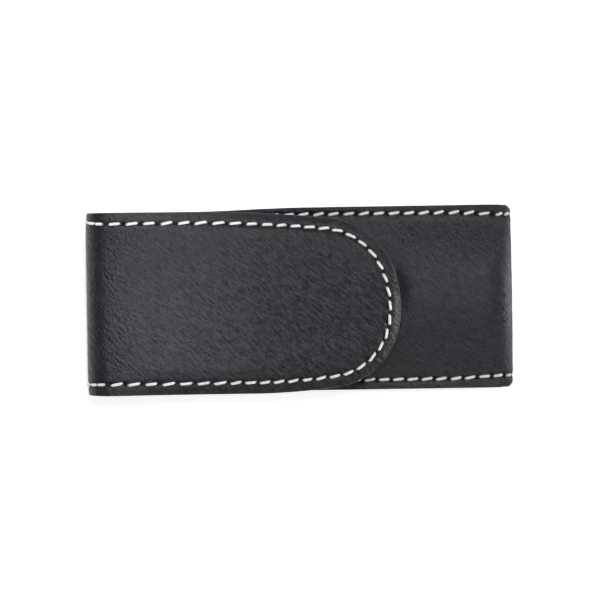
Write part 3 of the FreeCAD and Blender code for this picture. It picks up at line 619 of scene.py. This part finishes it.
def closed_sheet(name, sheet, edge_pts, edge_in, cut_pts, inner_top, inner_bot, depth, thk, edge, mats, depth_of=None):
    """A closed sheet of leather or lining. edge_pts is the chain of real edges (with inward
    directions edge_in) from one end of the cut line to the other; cut_pts are the points
    across the cut line, where the next piece of the same strip carries on."""
    prof = rim_profile(thk, edge)
    rings_q = [edge_pts + edge_in * ins for ins, _, _ in prof]
    M = len(edge_pts)
    extra = depth_of if depth_of is not None else (lambda q: np.zeros(len(q)))
    up_sign = 1.0
    verts, norms, tex, rim, faces = [], [], [], [], []

    def add(q, w, ang, outdir):
        base = len(verts_count)
        share = max(0.0, 1.0 - w / max(thk, 1e-6)) if depth == 0 else 0.0
        p = sheet.at(q, depth + w + extra(q), share)
        n = sheet.normal(q) if depth == 0 else sheet.frame(q)[3]
        if ang is None:
            nn = n
        else:
            o = unit(outdir - n * np.sum(outdir * n, 1, keepdims=True))
            nn = unit(n * math.cos(ang) + o * math.sin(ang))
        verts.append(p); norms.append(nn)
        tex.append(np.stack([q[:, 0], q[:, 1], np.full(len(q), w)], 1))
        # rim marks the rounded cut edge; the leather is painted lighter there, a painted highlight
        rim.append(np.full(len(q), 0.0 if ang is None else abs(math.sin(ang))))
        verts_count.extend(range(len(q)))
        return base

    verts_count = []
    # top
    bt = np.vstack([rings_q[0], cut_pts])
    co_t, f_t, bi_t = cdt(bt, inner_top)
    add(co_t, 0.0, None, None)
    ccw = True
    faces += [tuple(f) for f in f_t]
    # directions out of the sheet along the edge chain, in space
    def out_of(q_in, q_out):
        return unit(sheet.frame(q_out)[0] - sheet.frame(q_in)[0])
    od = out_of(edge_pts + edge_in * 0.5, edge_pts)
    ring_ids = [[bi_t[i] for i in range(M)]]
    for ins, w, ang in prof[1:-1]:
        b = add(edge_pts + edge_in * ins, w, ang, od)
        ring_ids.append(list(range(b, b + M)))
    bb = np.vstack([rings_q[-1], cut_pts])
    co_b, f_b, bi_b = cdt(bb, inner_bot)
    b0 = len(verts_count)
    add(co_b, thk, None, None)
    norms[-1] = -sheet.frame(co_b)[3]
    faces += [tuple(b0 + i for i in reversed(f)) for f in f_b]
    ring_ids.append([b0 + bi_b[i] for i in range(M)])
    for r0, r1 in zip(ring_ids[:-1], ring_ids[1:]):
        for i in range(M - 1):
            faces.append((r0[i + 1], r0[i], r1[i], r1[i + 1]))
    # cap on the cut line, so that the piece is closed
    C = len(cut_pts)
    cap_t = [ring_ids[0][-1]] + [bi_t[M + i] for i in range(C)] + [ring_ids[0][0]]
    cap_b = [ring_ids[-1][-1]] + [b0 + bi_b[M + i] for i in range(C)] + [ring_ids[-1][0]]
    for i in range(len(cap_t) - 1):
        faces.append((cap_t[i + 1], cap_t[i], cap_b[i], cap_b[i + 1]))
    faces.append(tuple(r[-1] for r in ring_ids))
    faces.append(tuple(reversed([r[0] for r in ring_ids])))
    V, N = np.vstack(verts), np.vstack(norms)
    T, RM = np.vstack(tex), np.concatenate(rim)
    dh, _ = nearest(T[:, :2], HOLES)
    # painted shade: the outer face is marked near black round each needle hole
    HOLE_SHADE = np.clip(1.3 * np.exp(-(dh / 0.50) ** 2), 0, 1) * (T[:, 2] < 0.2)
    # orientation: faces of the top must agree with the outward normal
    a, b, c = (V[list(k)] for k in zip(*[f[:3] for f in faces[:200]]))
    if np.sum(np.cross(b - a, c - a) * N[[f[0] for f in faces[:200]]]) < 0:
        faces = [tuple(reversed(f)) for f in faces]
    return make_object(name, V, faces, N, T, RM, HOLE_SHADE, mats)


def strip_tube(name, s0, s1, n, depth, thk, edge, mats, us):
    """One piece of the fold: a closed band between two lines across the strip."""
    prof = rim_profile(thk, edge)
    ss = np.linspace(s0, s1, n + 1)
    V, N, T, RM, faces = [], [], [], [], []
    J, K = len(us), len(prof)
    ringlen = 2 * J + 2 * (K - 2)
    for s in ss:
        y0, y1 = (float(a[0]) for a in fold_edges(np.array([s])))
        y = y0 + edge + us * (y1 - y0 - 2 * edge)

        def put(q, w, ang=None, side=0.0):
            share = max(0.0, 1.0 - w / thk) if depth == 0 else 0.0
            p = FOLD.at(q, depth + w, share)
            nrm = FOLD.normal(q) if depth == 0 else FOLD.frame(q)[3]
            if ang is not None:
                o = np.tile(np.array([0.0, side, 0.0]), (len(q), 1))
                o = unit(o - nrm * np.sum(o * nrm, 1, keepdims=True))
                nrm = unit(nrm * math.cos(ang) + o * math.sin(ang))
            V.append(p); N.append(nrm)
            T.append(np.stack([q[:, 0], q[:, 1], np.full(len(q), w)], 1))
            # rim marks the rounded cut edge; the leather is painted lighter there, a painted highlight
            RM.append(np.full(len(q), 0.0 if ang is None else abs(math.sin(ang))))

        q = np.stack([np.full(J, s), y], 1)
        put(q, 0.0)
        for ins, w, ang in prof[1:-1]:
            put(np.array([[s, y1 - ins]]), w, ang, 1.0)
        put(q[::-1], thk)
        N[-1] = -FOLD.frame(q[::-1])[3]
        for ins, w, ang in reversed(prof[1:-1]):
            put(np.array([[s, y0 + ins]]), w, ang, -1.0)
    V, N, T, RM = np.vstack(V), np.vstack(N), np.vstack(T), np.concatenate(RM)
    for k in range(n):
        a, b = k * ringlen, (k + 1) * ringlen
        for i in range(ringlen):
            j = (i + 1) % ringlen
            faces.append((a + i, a + j, b + j, b + i))
    for base, flip in ((0, False), (n * ringlen, True)):
        top = [base + j for j in range(J)]
        bot = [base + J + K - 2 + (J - 1 - j) for j in range(J)]
        cap = [(top[j + 1], top[j], bot[j], bot[j + 1]) for j in range(J - 1)]
        cap.append(tuple([top[J - 1]] + [base + J + i for i in range(K - 2)] + [bot[J - 1]])[::-1])
        cap.append(tuple([bot[0]] + [base + 2 * J + K - 2 + i for i in range(K - 2)] + [top[0]])[::-1])
        faces += [tuple(reversed(f)) for f in cap] if flip else cap
    dh, _ = nearest(T[:, :2], HOLES)
    # painted shade: the outer face is marked near black round each needle hole
    HOLE_SHADE = np.clip(1.3 * np.exp(-(dh / 0.50) ** 2), 0, 1) * (T[:, 2] < 0.2)
    f = faces[len(us) // 2]
    nrm = np.cross(V[f[1]] - V[f[0]], V[f[2]] - V[f[0]])
    if nrm @ N[f[0]] < 0:
        faces = [tuple(reversed(g)) for g in faces]
    return make_object(name, V, faces, N, T, RM, HOLE_SHADE, mats)




# ------------------------------------------------------------------ materials
class Nodes:
    """Short way to write a node tree."""

    def __init__(self, name):
        self.mat = bpy.data.materials.new(name)
        self.mat.use_nodes = True
        self.t = self.mat.node_tree
        self.bsdf = self.t.nodes["Principled BSDF"]

    def new(self, kind, **props):
        n = self.t.nodes.new("ShaderNode" + kind)
        for k, v in props.items():
            setattr(n, k, v)
        return n

    def put(self, socket, value):
        if isinstance(value, bpy.types.NodeSocket):
            self.t.links.new(value, socket)
        else:
            socket.default_value = value

    def attr(self, name, out="Fac"):
        return self.new("Attribute", attribute_name=name).outputs[out]

    def scale(self, vec, xyz):
        n = self.new("Mapping")
        self.put(n.inputs["Vector"], vec)
        n.inputs["Scale"].default_value = xyz
        return n.outputs[0]

    def noise(self, vec, scale, detail=2.0, rough=0.5, distortion=0.0):
        n = self.new("TexNoise")
        self.put(n.inputs["Vector"], vec)
        n.inputs["Scale"].default_value = scale
        n.inputs["Detail"].default_value = detail
        n.inputs["Roughness"].default_value = rough
        n.inputs["Distortion"].default_value = distortion
        return n.outputs["Fac"]

    def voronoi(self, vec, scale, feature="F1", out="Distance"):
        n = self.new("TexVoronoi", feature=feature)
        self.put(n.inputs["Vector"], vec)
        n.inputs["Scale"].default_value = scale
        return n.outputs[out]

    def math(self, op, a, b=0.0, clamp=False):
        n = self.new("Math", operation=op, use_clamp=clamp)
        self.put(n.inputs[0], a)
        self.put(n.inputs[1], b)
        return n.outputs[0]

    def mix(self, f, a, b):
        n = self.new("Mix", data_type="RGBA")
        self.put(n.inputs[0], f)
        self.put(n.inputs[6], a)
        self.put(n.inputs[7], b)
        return n.outputs[2]

    def span(self, v, lo, hi, a=0.0, b=1.0):
        n = self.new("MapRange")
        self.put(n.inputs["Value"], v)
        for key, val in (("From Min", lo), ("From Max", hi), ("To Min", a), ("To Max", b)):
            n.inputs[key].default_value = val
        return n.outputs[0]

    def bump(self, height, dist_mm, normal=None, strength=1.0):
        n = self.new("Bump")
        self.put(n.inputs["Height"], height)
        n.inputs["Distance"].default_value = dist_mm * MM
        n.inputs["Strength"].default_value = strength
        if normal is not None:
            self.put(n.inputs["Normal"], normal)
        return n.outputs[0]

    def set(self, **kw):
        for k, v in kw.items():
            self.put(self.bsdf.inputs[k.replace("_", " ")], v)
        return self.mat


def leather_material():
    m = Nodes("outer_leather")
    v = m.attr("strip", "Vector")
    rim, hole = m.attr("rim"), m.attr("hole")
    fine = m.voronoi(v, 1.35, "SMOOTH_F1")                            # pebbles about 0.75 mm across
    vein = m.voronoi(v, 0.95, "DISTANCE_TO_EDGE")
    fibre = m.noise(m.scale(v, (2.2, 2.2, 9.0)), 3.0, 3.0)
    cloud = m.noise(v, 0.07, 3.0)
    grain = m.math("ADD", m.math("MULTIPLY", fine, 0.35), m.math("MULTIPLY", m.noise(v, 1.9, 3.5, 0.55), 0.9))
    grain = m.math("ADD", grain, m.math("MULTIPLY", m.span(vein, 0.0, 0.22), 0.07))
    # short diagonal wrinkles, deepest on the middle of the flap
    turned = m.new("Mapping")
    m.put(turned.inputs["Vector"], v)
    turned.inputs["Rotation"].default_value = (0.0, 0.0, math.radians(41.0))
    slow = m.noise(m.scale(turned.outputs[0], (0.38, 1.30, 1.0)), 1.0, 2.0, 0.5, 0.6)
    quick = m.noise(m.scale(turned.outputs[0], (0.95, 2.40, 1.0)), 1.0, 1.5, 0.5, 0.4)
    away = m.new("Mapping")
    m.put(away.inputs["Vector"], v)
    away.inputs["Scale"].default_value = (1 / 32.0, 1 / 26.0, 0.0)
    away.inputs["Location"].default_value = (-(6.0 - CX + FOLD_L) / 32.0, 7.0 / 26.0, 0.0)
    reach = m.new("VectorMath", operation="LENGTH")
    m.put(reach.inputs[0], away.outputs[0])
    deep = m.span(reach.outputs["Value"], 0.3, 1.4, 1.0, 0.5)
    wrinkle = m.math("SUBTRACT", m.math("ADD", slow, m.math("MULTIPLY", quick, 0.8)), 0.9)
    wrinkle = m.math("MULTIPLY", wrinkle, deep)
    grain = m.math("ADD", grain, m.math("MULTIPLY", wrinkle, 1.3))
    # painted sheen and shade: the specular level rises on the wrinkle ridges (painted sheen) and falls in their bottoms
    # (painted shade)
    wrinkle_sheen_and_shade = m.math("MAXIMUM", m.math("ADD", 0.445, m.math("MULTIPLY", wrinkle, 1.15)), 0.27)
    # the grain side is only the outer face; the cut edge and the flesh side are fibrous
    h = m.mix(m.math("MULTIPLY", rim, 0.8, True), grain, fibre)
    n1 = m.bump(h, 0.19)
    base = m.mix(m.span(cloud, 0.3, 0.7), (0.0055, 0.0049, 0.0070, 1), (0.0075, 0.0067, 0.0095, 1))
    base = m.mix(m.math("MULTIPLY", fine, 0.35, True), base, (0.0095, 0.0087, 0.012, 1))
    # painted highlight: the cut edge is painted lighter, as if catching the light
    base = m.mix(m.math("MULTIPLY", rim, 0.5, True), base, (0.034, 0.033, 0.037, 1))
    # painted shade: the leather is painted near black round each needle hole
    base = m.mix(hole, base, (0.002, 0.002, 0.002, 1))
    rough = m.span(m.noise(v, 0.5, 4.0), 0.2, 0.8, 0.35, 0.43)
    rough = m.math("ADD", rough, m.math("MULTIPLY", hole, 0.4), True)
    return m.set(Base_Color=base, Roughness=rough, Normal=n1, Specular_IOR_Level=wrinkle_sheen_and_shade, Specular_Tint=(0.96, 0.94, 1.0, 1),
                 Sheen_Weight=0.03, Sheen_Roughness=0.3)


def lining_material():
    m = Nodes("lining")
    v = m.attr("strip", "Vector")
    nap = m.noise(v, 6.0, 5.0, 0.65)
    weft = m.noise(m.scale(v, (1.0, 4.0, 1.0)), 1.6, 3.0)
    cloud = m.noise(v, 0.12, 3.0)
    base = m.mix(m.span(cloud, 0.3, 0.7), (0.020, 0.019, 0.022, 1), (0.036, 0.034, 0.038, 1))
    h = m.math("ADD", nap, m.math("MULTIPLY", weft, 0.5))
    return m.set(Base_Color=base, Roughness=0.93, Normal=m.bump(h, 0.19), Specular_IOR_Level=0.15,
                 Sheen_Weight=0.35, Sheen_Roughness=0.5)


def thread_material():
    m = Nodes("thread")
    v = m.attr("strip", "Vector")                        # along the ply, round it, stitch number
    fibre = m.noise(m.scale(v, (1.2, 7.0, 3.0)), 3.0, 3.0)
    tone = m.noise(v, 0.6, 2.0)
    sunk = m.attr("hole")
    base = m.mix(m.span(tone, 0.3, 0.7), (0.88, 0.87, 0.85, 1), (0.95, 0.945, 0.93, 1))
    # painted shade: the thread is painted dark where it dives into its needle hole
    base = m.mix(m.math("MULTIPLY", sunk, 0.85, True), base, (0.12, 0.115, 0.11, 1))
    return m.set(Base_Color=base, Roughness=0.62, Normal=m.bump(fibre, 0.05), Specular_IOR_Level=0.35,
                 Sheen_Weight=0.1)


def metal_material(name, tint, rough, scale):
    m = Nodes(name)
    co = m.new("TexCoord").outputs["Object"]
    brushed = m.noise(m.scale(co, (1.0, 9.0, 9.0)), scale, 4.0)
    spots = m.noise(co, scale * 0.25, 4.0)
    base = m.mix(m.span(spots, 0.35, 0.75), tint, tuple(c * 0.72 for c in tint[:3]) + (1,))
    r = m.span(brushed, 0.3, 0.7, rough, rough + 0.14)
    return m.set(Base_Color=base, Metallic=1.0, Roughness=r, Normal=m.bump(brushed, 0.012))


def fibrous_material(name, dark, light, rough, depth, co=None):
    m = Nodes(name)
    v = m.attr("strip", "Vector") if co is None else m.scale(m.new("TexCoord").outputs["Object"], (co,) * 3)
    f = m.noise(m.scale(v, (1.0, 3.0, 1.0)), 2.4, 5.0, 0.7)
    base = m.mix(m.span(f, 0.3, 0.7), dark, light)
    return m.set(Base_Color=base, Roughness=rough, Normal=m.bump(f, depth), Specular_IOR_Level=0.2)


LEATHER, LINING, THREAD = leather_material(), lining_material(), thread_material()
PLATED = metal_material("snap_plating", (0.55, 0.54, 0.51, 1), 0.26, 900.0)
STEEL = metal_material("snap_steel", (0.42, 0.42, 0.43, 1), 0.36, 700.0)
MAGNET = metal_material("magnet", (0.30, 0.30, 0.32, 1), 0.45, 500.0)
CARD = fibrous_material("card", (0.46, 0.39, 0.29, 1), (0.58, 0.50, 0.39, 1), 0.9, 0.08)
SPLIT = fibrous_material("patch_leather", (0.24, 0.155, 0.10, 1), (0.33, 0.225, 0.15, 1), 0.85, 0.2, 1000.0)


# ------------------------------------------------------------------ the sheets
FINE = 0.26
WIDE = 0.44
POUCH_STEP = 0.72
US = np.linspace(0, 1, 190)


def keep_apart(pts, *sets, gap):
    """Drops points nearer than gap to a point of the other sets."""
    for q in sets:
        if len(pts) and len(q):
            pts = pts[nearest(pts, q)[0] > gap]
    return pts


def dense_points(x0, x1, y0, y1, wide, fine, near_line):
    """Wide spacing, with fine spacing near the stitch lines. near_line(points) gives the distance."""
    a = hexgrid(x0, x1, y0, y1, wide)
    b = hexgrid(x0, x1, y0, y1, fine)
    b = b[near_line(b) < 1.7]
    a = a[near_line(a) >= 1.7 + wide * 0.4]
    return np.vstack([a, b])


def cross_points(s, y0, y1, edge):
    return np.stack([np.full(len(US) - 2, s), y0 + edge + US[1:-1] * (y1 - y0 - 2 * edge)], 1)


def rows_distance(q):
    x = pouch_base(q[:, 0], q[:, 1])[:, 0]
    d = np.minimum(np.abs(q[:, 1] - y_row_front(x, True)), np.abs(q[:, 1] - y_row_front(x, False)))
    return np.minimum(d, np.where(np.abs(q[:, 1]) < 22.5, np.abs(q[:, 0] + U - 2.6), 9.0))


def pouch_chain(edge, s_end, step):
    n, k = int(U / step), int(2 * HW / step)
    top = np.stack([np.linspace(0.0, s_end, n), np.full(n, HW - edge)], 1)
    left = np.stack([np.full(k, s_end), np.linspace(HW - edge, -HW + edge, k)], 1)
    bot = np.stack([np.linspace(s_end, 0.0, n), np.full(n, -HW + edge)], 1)
    pts = np.vstack([top, left[1:], bot[1:]])
    inn = np.vstack([np.tile((0.0, -1.0), (n, 1)), np.tile((1.0, 0.0), (k - 1, 1)),
                     np.tile((0.0, 1.0), (n - 1, 1))])
    inn[n - 1], inn[n + k - 2] = (1.0, -1.0), (1.0, 1.0)
    return pts, inn


EDGE, LIN_EDGE = 0.32, 0.22
pts, inn = pouch_chain(0.0, -U, 0.42)
top_in = dense_points(-U + 0.8, -0.4, -HW + 0.8, HW - 0.8, POUCH_STEP, FINE * 1.15, rows_distance)
bot_in = hexgrid(-U + 1.0, -0.8, -HW + 1.0, HW - 1.0, 1.6)
pouch = closed_sheet("pouch_leather", POUCH, pts, inn, cross_points(0.0, -HW, HW, EDGE), top_in, bot_in,
                     0.0, LEA, EDGE, [LEATHER])
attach(pouch, CASE)
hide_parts("body_leather")

pts, inn = pouch_chain(0.08, -U + 0.08, 0.6)
lin_in = hexgrid(-U + 1.0, -0.8, -HW + 1.0, HW - 1.0, 1.0)
lining = closed_sheet("pouch_lining", POUCH, pts, inn, cross_points(0.0, -HW + 0.08, HW - 0.08, LIN_EDGE), lin_in,
                      lin_in, LEA, LIN, LIN_EDGE, [LINING])
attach(lining, CASE)
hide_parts("lining_front", "lining_back")

n_link = 10
for k in range(1, NH + 1):
    s0, s1 = FOLD_L * (k - 1) / NH, FOLD_L * k / NH
    skin = strip_tube("fold_skin_%d" % k, s0, s1, n_link, 0.0, LEA, EDGE, [LEATHER], US)
    soft = strip_tube("fold_lining_skin_%d" % k, s0, s1, 6, LEA, LIN, LIN_EDGE, [LINING], US[::3])
    for ob, slot in ((skin, "outer_leather"), (soft, "lining")):
        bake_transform(ob)
    if k < NH:
        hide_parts("fold_leather_%d" % k)
        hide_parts("fold_lining_%d" % k)


def flap_chain(inset, step, x_start=CX):
    p, t, s = outline(inset, step)
    keep = p[:, 0] >= x_start - 1e-6
    p, t = p[keep][::-1], t[keep][::-1]
    if abs(p[0, 0] - x_start) > 1e-6:
        p = np.vstack([[x_start, p[0, 1]], p, [x_start, p[-1, 1]]])
        t = np.vstack([t[0], t, t[-1]])
    inward = np.stack([t[:, 1], -t[:, 0]], 1)
    q = np.stack([p[:, 0] - CX + FOLD_L, p[:, 1]], 1)
    return q, inward


def inside_flap(q, margin):
    p = np.stack([q[:, 0] - FOLD_L + CX, q[:, 1]], 1)
    d, k = nearest(p, EDGE_P)
    inward = np.stack([EDGE_T[k, 1], -EDGE_T[k, 0]], 1)
    return q[(np.sum((p - EDGE_P[k]) * inward, 1) > 0) & (d > margin)]


def line_distance(q):
    return nearest(np.stack([q[:, 0] - FOLD_L + CX, q[:, 1]], 1), LINE_P[::2])[0]


SF = FOLD_L
pts, inn = flap_chain(0.0, 0.3)
top_in = inside_flap(dense_points(SF + 0.4, SF - CX + 30.0, FY0 + 0.6, FY1 - 0.6, WIDE, FINE, line_distance), 0.75)
bot_in = inside_flap(hexgrid(SF + 0.8, SF - CX + 30.0, FY0 + 0.6, FY1 - 0.6, 1.2), 1.0)
flap = closed_sheet("flap_skin", FLAPS, pts, inn, cross_points(SF, FY0, FY1, EDGE)[::-1], top_in, bot_in,
                    0.0, LEA, EDGE, [LEATHER])
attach(flap, FLAP)
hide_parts("flap_leather")

CARD_T = 0.8


def room(q):
    """How far the lining stands off the leather to make room for the card."""
    p = np.stack([q[:, 0] - FOLD_L + CX, q[:, 1]], 1)
    d, _ = nearest(p, EDGE_P)
    return (CARD_T + 0.02) * smooth((d - 4.0) / 1.7) * smooth((p[:, 0] + 54.5) / 3.5)


pts, inn = flap_chain(0.08, 0.4)
lin_in = inside_flap(hexgrid(SF + 0.6, SF - CX + 30.0, FY0 + 0.6, FY1 - 0.6, 0.8), 0.8)
soft = closed_sheet("flap_lining_skin", FLAPS, pts, inn, cross_points(SF, FY0 + 0.08, FY1 - 0.08, LIN_EDGE)[::-1],
                    lin_in, lin_in, LEA, LIN, LIN_EDGE, [LINING], depth_of=room)
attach(soft, FLAP)
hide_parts("flap_lining")

pts, inn = flap_chain(6.1, 0.8, -50.0)
card_in = inside_flap(hexgrid(pts[0, 0] + 1.0, SF - CX + 30.0, FY0 + 0.6, FY1 - 0.6, 1.5), 7.0)
cut_y = np.linspace(pts[-1, 1], pts[0, 1], 26)[1:-1]
card = closed_sheet("flap_card", FLAPS, pts, inn, np.stack([np.full(24, pts[0, 0]), cut_y], 1), card_in, card_in,
                    LEA, CARD_T, 0.15, [CARD])
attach(card, FLAP)
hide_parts("flap_stiffener")


# ------------------------------------------------------------------ the thread
PLY_R, PLY_OFF = 0.235, 0.200
TURNS = 1.15


def stitches(name, sheet, places, body, nodes, side=1.0, depth=0.0):
    """places: (S, Y, angle, length). Each stitch is three twisted plies that dive into the
    needle holes at their ends. side -1 is the inner face of the sheet, at that depth."""
    nt, nr = ((21, 8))
    t = np.linspace(-1, 1, nt)
    V, N, T, DIVE_SHADE, F = [], [], [], [], []
    off = 0
    for i, (s, y, ang, length) in enumerate(places):
        a = ang + 0.14 * rnd(i, 77)
        L = length / 2 + 0.22
        q = np.stack([s + t * L * math.cos(a), y + t * L * math.sin(a)], 1)
        p, ds, dy, n = sheet.frame(q)
        n = n * side
        dive = np.clip((np.abs(t) - 0.66) / 0.34, 0, 1)
        h = 0.13 + 0.02 * rnd(i, 3) - 0.80 * dive ** 2 + 0.05 * np.cos(t * np.pi / 2)
        c = p + n * h[:, None] - (n * side) * depth * (1.0 if side < 0 else 0.0)
        d = unit(np.gradient(c, axis=0))
        b = unit(np.cross(n, d))
        up = unit(np.cross(d, b))
        squeeze = 1.0 - 0.35 * dive
        for ply in range(3):
            ph = 2 * np.pi * (ply / 3 + TURNS * t) + i * 1.7
            # seen from above the thread is pressed a little flat
            cc = c + (b * np.cos(ph)[:, None] * 1.12 + up * np.sin(ph)[:, None] * 0.85) * (PLY_OFF * squeeze)[:, None]
            for j in range(nr):
                w = 2 * np.pi * j / nr
                r = PLY_R * squeeze
                o = b * math.cos(w) + up * math.sin(w)
                V.append(cc + o * r[:, None]); N.append(o)
                T.append(np.stack([t * L, np.full(nt, j / nr), np.full(nt, i * 3.1 + ply)], 1))
                # the dive also sets painted shade on the thread, where it sinks into the hole
                DIVE_SHADE.append(dive)
            base = off + ply * nr * nt
            for j in range(nr):
                j2 = (j + 1) % nr
                for k in range(nt - 1):
                    F.append((base + j * nt + k, base + j * nt + k + 1, base + j2 * nt + k + 1, base + j2 * nt + k))
            F.append(tuple(base + j * nt for j in range(nr)))
            F.append(tuple(base + j * nt + nt - 1 for j in reversed(range(nr))))
        off += 3 * nr * nt
    V, N = np.vstack(V), np.vstack(N)
    f = F[3]
    if np.cross(V[f[1]] - V[f[0]], V[f[2]] - V[f[0]]) @ N[f[0]] < 0:
        F = [tuple(reversed(g)) for g in F]
    ob = make_object(name, V, F, None, np.vstack(T), None, np.concatenate(DIVE_SHADE), [THREAD])
    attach(ob, body)
    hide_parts(*nodes)
    return ob


SLANT = math.radians(7.0)
for upper, tag in ((True, "upper"), (False, "lower")):
    front, back = SEAMS[upper]
    stitches("%s_seam_stitches_front" % tag, POUCH, [(s, y, SLANT * (1.5 if upper else 1.0), 2.6 * (1 + 0.05 * rnd(i, 50))) for i, (s, y) in
             enumerate(front)], CASE, ["%s_seam_thread_front" % tag])
    stitches("%s_seam_stitches_back" % tag, POUCH, [(s, y, SLANT, 2.6 * (1 + 0.05 * rnd(i, 60))) for i, (s, y) in
             enumerate(back)], CASE, ["%s_seam_thread_back" % tag])
stitches("mouth_stitches", POUCH, [(s, y, math.pi / 2 + SLANT, 3.3) for s, y in MOUTH], CASE, ["mouth_thread"])
for i in range(1, NH):
    stitches("fold_stitches_%d" % i, FOLD, [(s, y, 0.0, 2.1) for k, s, y in FOLD_ST if k == i], chain[i],
             ["fold_thread_%d" % i])
flap_places = [(x - CX + FOLD_L, y, a + SLANT, L) for x, y, a, L, _ in FLAP_ST]
stitches("flap_stitches_outer", FLAPS, flap_places, FLAP, ["flap_thread_outer"])
stitches("flap_stitches_inner", FLAPS, flap_places, FLAP, ["flap_thread_inner"], side=-1.0, depth=LEA + LIN)

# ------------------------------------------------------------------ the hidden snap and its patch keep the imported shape
for node, mat, slot in (("socket_shell", PLATED, "snap_plating"), ("socket_magnet", MAGNET, "magnet"),
                        ("socket_base", STEEL, "snap_steel"), ("socket_washer", STEEL, "snap_steel"),
                        ("stud_plate", PLATED, "snap_plating"), ("stud_washer", STEEL, "snap_steel"),
                        ("snap_patch", SPLIT, "patch_leather")):
    ob = frame["nodes"][node]
    ob.data.materials.clear()
    ob.data.materials.append(mat)
    for s in ob.material_slots:
        s.material = mat

# ------------------------------------------------------------------ floor, light, camera
floor_me = bpy.data.meshes.new("floor")
floor_me.from_pydata([(-3, -3, 0), (3, -3, 0), (3, 3, 0), (-3, 3, 0)], [], [(0, 1, 2, 3)])
floor = bpy.data.objects.new("floor", floor_me)
bpy.context.scene.collection.objects.link(floor)
fm = Nodes("floor_paper")
floor_co = fm.new("TexCoord").outputs["Object"]
speck = fm.noise(floor_co, 400.0, 3.0)
far = fm.new("VectorMath", operation="LENGTH")
fm.put(far.inputs[0], floor_co)
glowing = fm.span(far.outputs["Value"], 0.10, 0.45, 0.62, 1.0)
floor_me.materials.append(fm.set(Base_Color=fm.mix(fm.span(speck, 0.3, 0.7), (0.93, 0.93, 0.93, 1), (0.95, 0.95, 0.95, 1)),
                                 Roughness=0.9, Emission_Color=(1, 1, 1, 1), Emission_Strength=glowing))
floor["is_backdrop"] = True


WORLD = 0.06


def area(name, loc, size, watts, target=(0, 0, 0)):
    li = bpy.data.lights.new(name, "AREA")
    li.shape, li.size, li.size_y, li.energy = "RECTANGLE", size[0], size[1], watts
    ob = bpy.data.objects.new(name, li)
    bpy.context.scene.collection.objects.link(ob)
    ob.location = loc
    ob.rotation_euler = (Vector(target) - Vector(loc)).to_track_quat("-Z", "Y").to_euler()
    ob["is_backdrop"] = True
    return ob


def lamp(name, azimuth, elevation, watts, size=0.45, dist=1.5, target=(0, 0, 0)):
    a, e = math.radians(azimuth), math.radians(elevation)
    return area(name, (dist * math.cos(e) * math.cos(a) + target[0], dist * math.cos(e) * math.sin(a) + target[1],
                       dist * math.sin(e) + target[2]), (size, size), watts, target)


lamp("key", 74, 69, 2.75, 0.24, 0.85, (-0.045, -0.01, 0))
lamp("overhead", 250, 80, 1.85)
lamp("front", 284, 50, 4.6, 0.40)
lamp("right_low", 2, 6, 20.0)
lamp("left_low", 182, 5, 2.3)
# two small lamps close to the fold
for name, loc, size, watts, aim in (("glow", (-0.045, -0.004, 0.068), (0.03, 0.04), 0.0095, (-0.044, -0.004, 0.012)),
                                    ("edge", (-0.050, 0.080, 0.055), (0.02, 0.02), 0.026, (-0.048, 0.024, 0.012))):
    area(name, loc, size, watts, aim).visible_camera = False

world = bpy.data.worlds.new("studio")
bpy.context.scene.world = world
world.use_nodes = True
bg = world.node_tree.nodes["Background"]
tc = world.node_tree.nodes.new("ShaderNodeTexCoord")
sep = world.node_tree.nodes.new("ShaderNodeSeparateXYZ")
rmp = world.node_tree.nodes.new("ShaderNodeValToRGB")
world.node_tree.links.new(tc.outputs["Generated"], sep.inputs[0])
world.node_tree.links.new(sep.outputs["Z"], rmp.inputs[0])
world.node_tree.links.new(rmp.outputs[0], bg.inputs[0])
els = rmp.color_ramp.elements
els[0].position, els[0].color = 0.0, (1.0, 1.0, 1.0, 1)
els[1].position, els[1].color = 0.95, (0.50, 0.49, 0.54, 1)
mid = els.new(0.30)
mid.color = (0.45, 0.45, 0.47, 1)
mid = els.new(0.5)
mid.color = (0.10, 0.10, 0.11, 1)
bg.inputs["Strength"].default_value = WORLD
# straight into the camera the studio is plain white
seen = world.node_tree.nodes.new("ShaderNodeBackground")
path = world.node_tree.nodes.new("ShaderNodeLightPath")
both = world.node_tree.nodes.new("ShaderNodeMixShader")
seen.inputs["Color"].default_value = (1, 1, 1, 1)
world.node_tree.links.new(path.outputs["Is Camera Ray"], both.inputs[0])
world.node_tree.links.new(bg.outputs[0], both.inputs[1])
world.node_tree.links.new(seen.outputs[0], both.inputs[2])
world.node_tree.links.new(both.outputs[0], world.node_tree.nodes["World Output"].inputs["Surface"])

cam_data = bpy.data.cameras.new("camera")
DIST = 2500.0
cam_data.sensor_width = 36.0
cam_data.lens = 36.0 * (DIST - 9.0) / 175.9
cam_data.clip_start, cam_data.clip_end = 0.1, 20.0
cam = bpy.data.objects.new("camera", cam_data)
bpy.context.scene.collection.objects.link(cam)
cam.location = (0.15 * MM, -0.3 * MM, DIST * MM)
cam.rotation_euler = (0.0, 0.0, math.radians(-0.9))
bpy.context.scene.camera = cam
bpy.context.scene.view_settings.view_transform = "Standard"
bpy.context.scene.view_settings.look = "None"

vis_lo, vis_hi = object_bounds()
floor.location.z = min(0.0, float(vis_lo[2])) - 0.00002
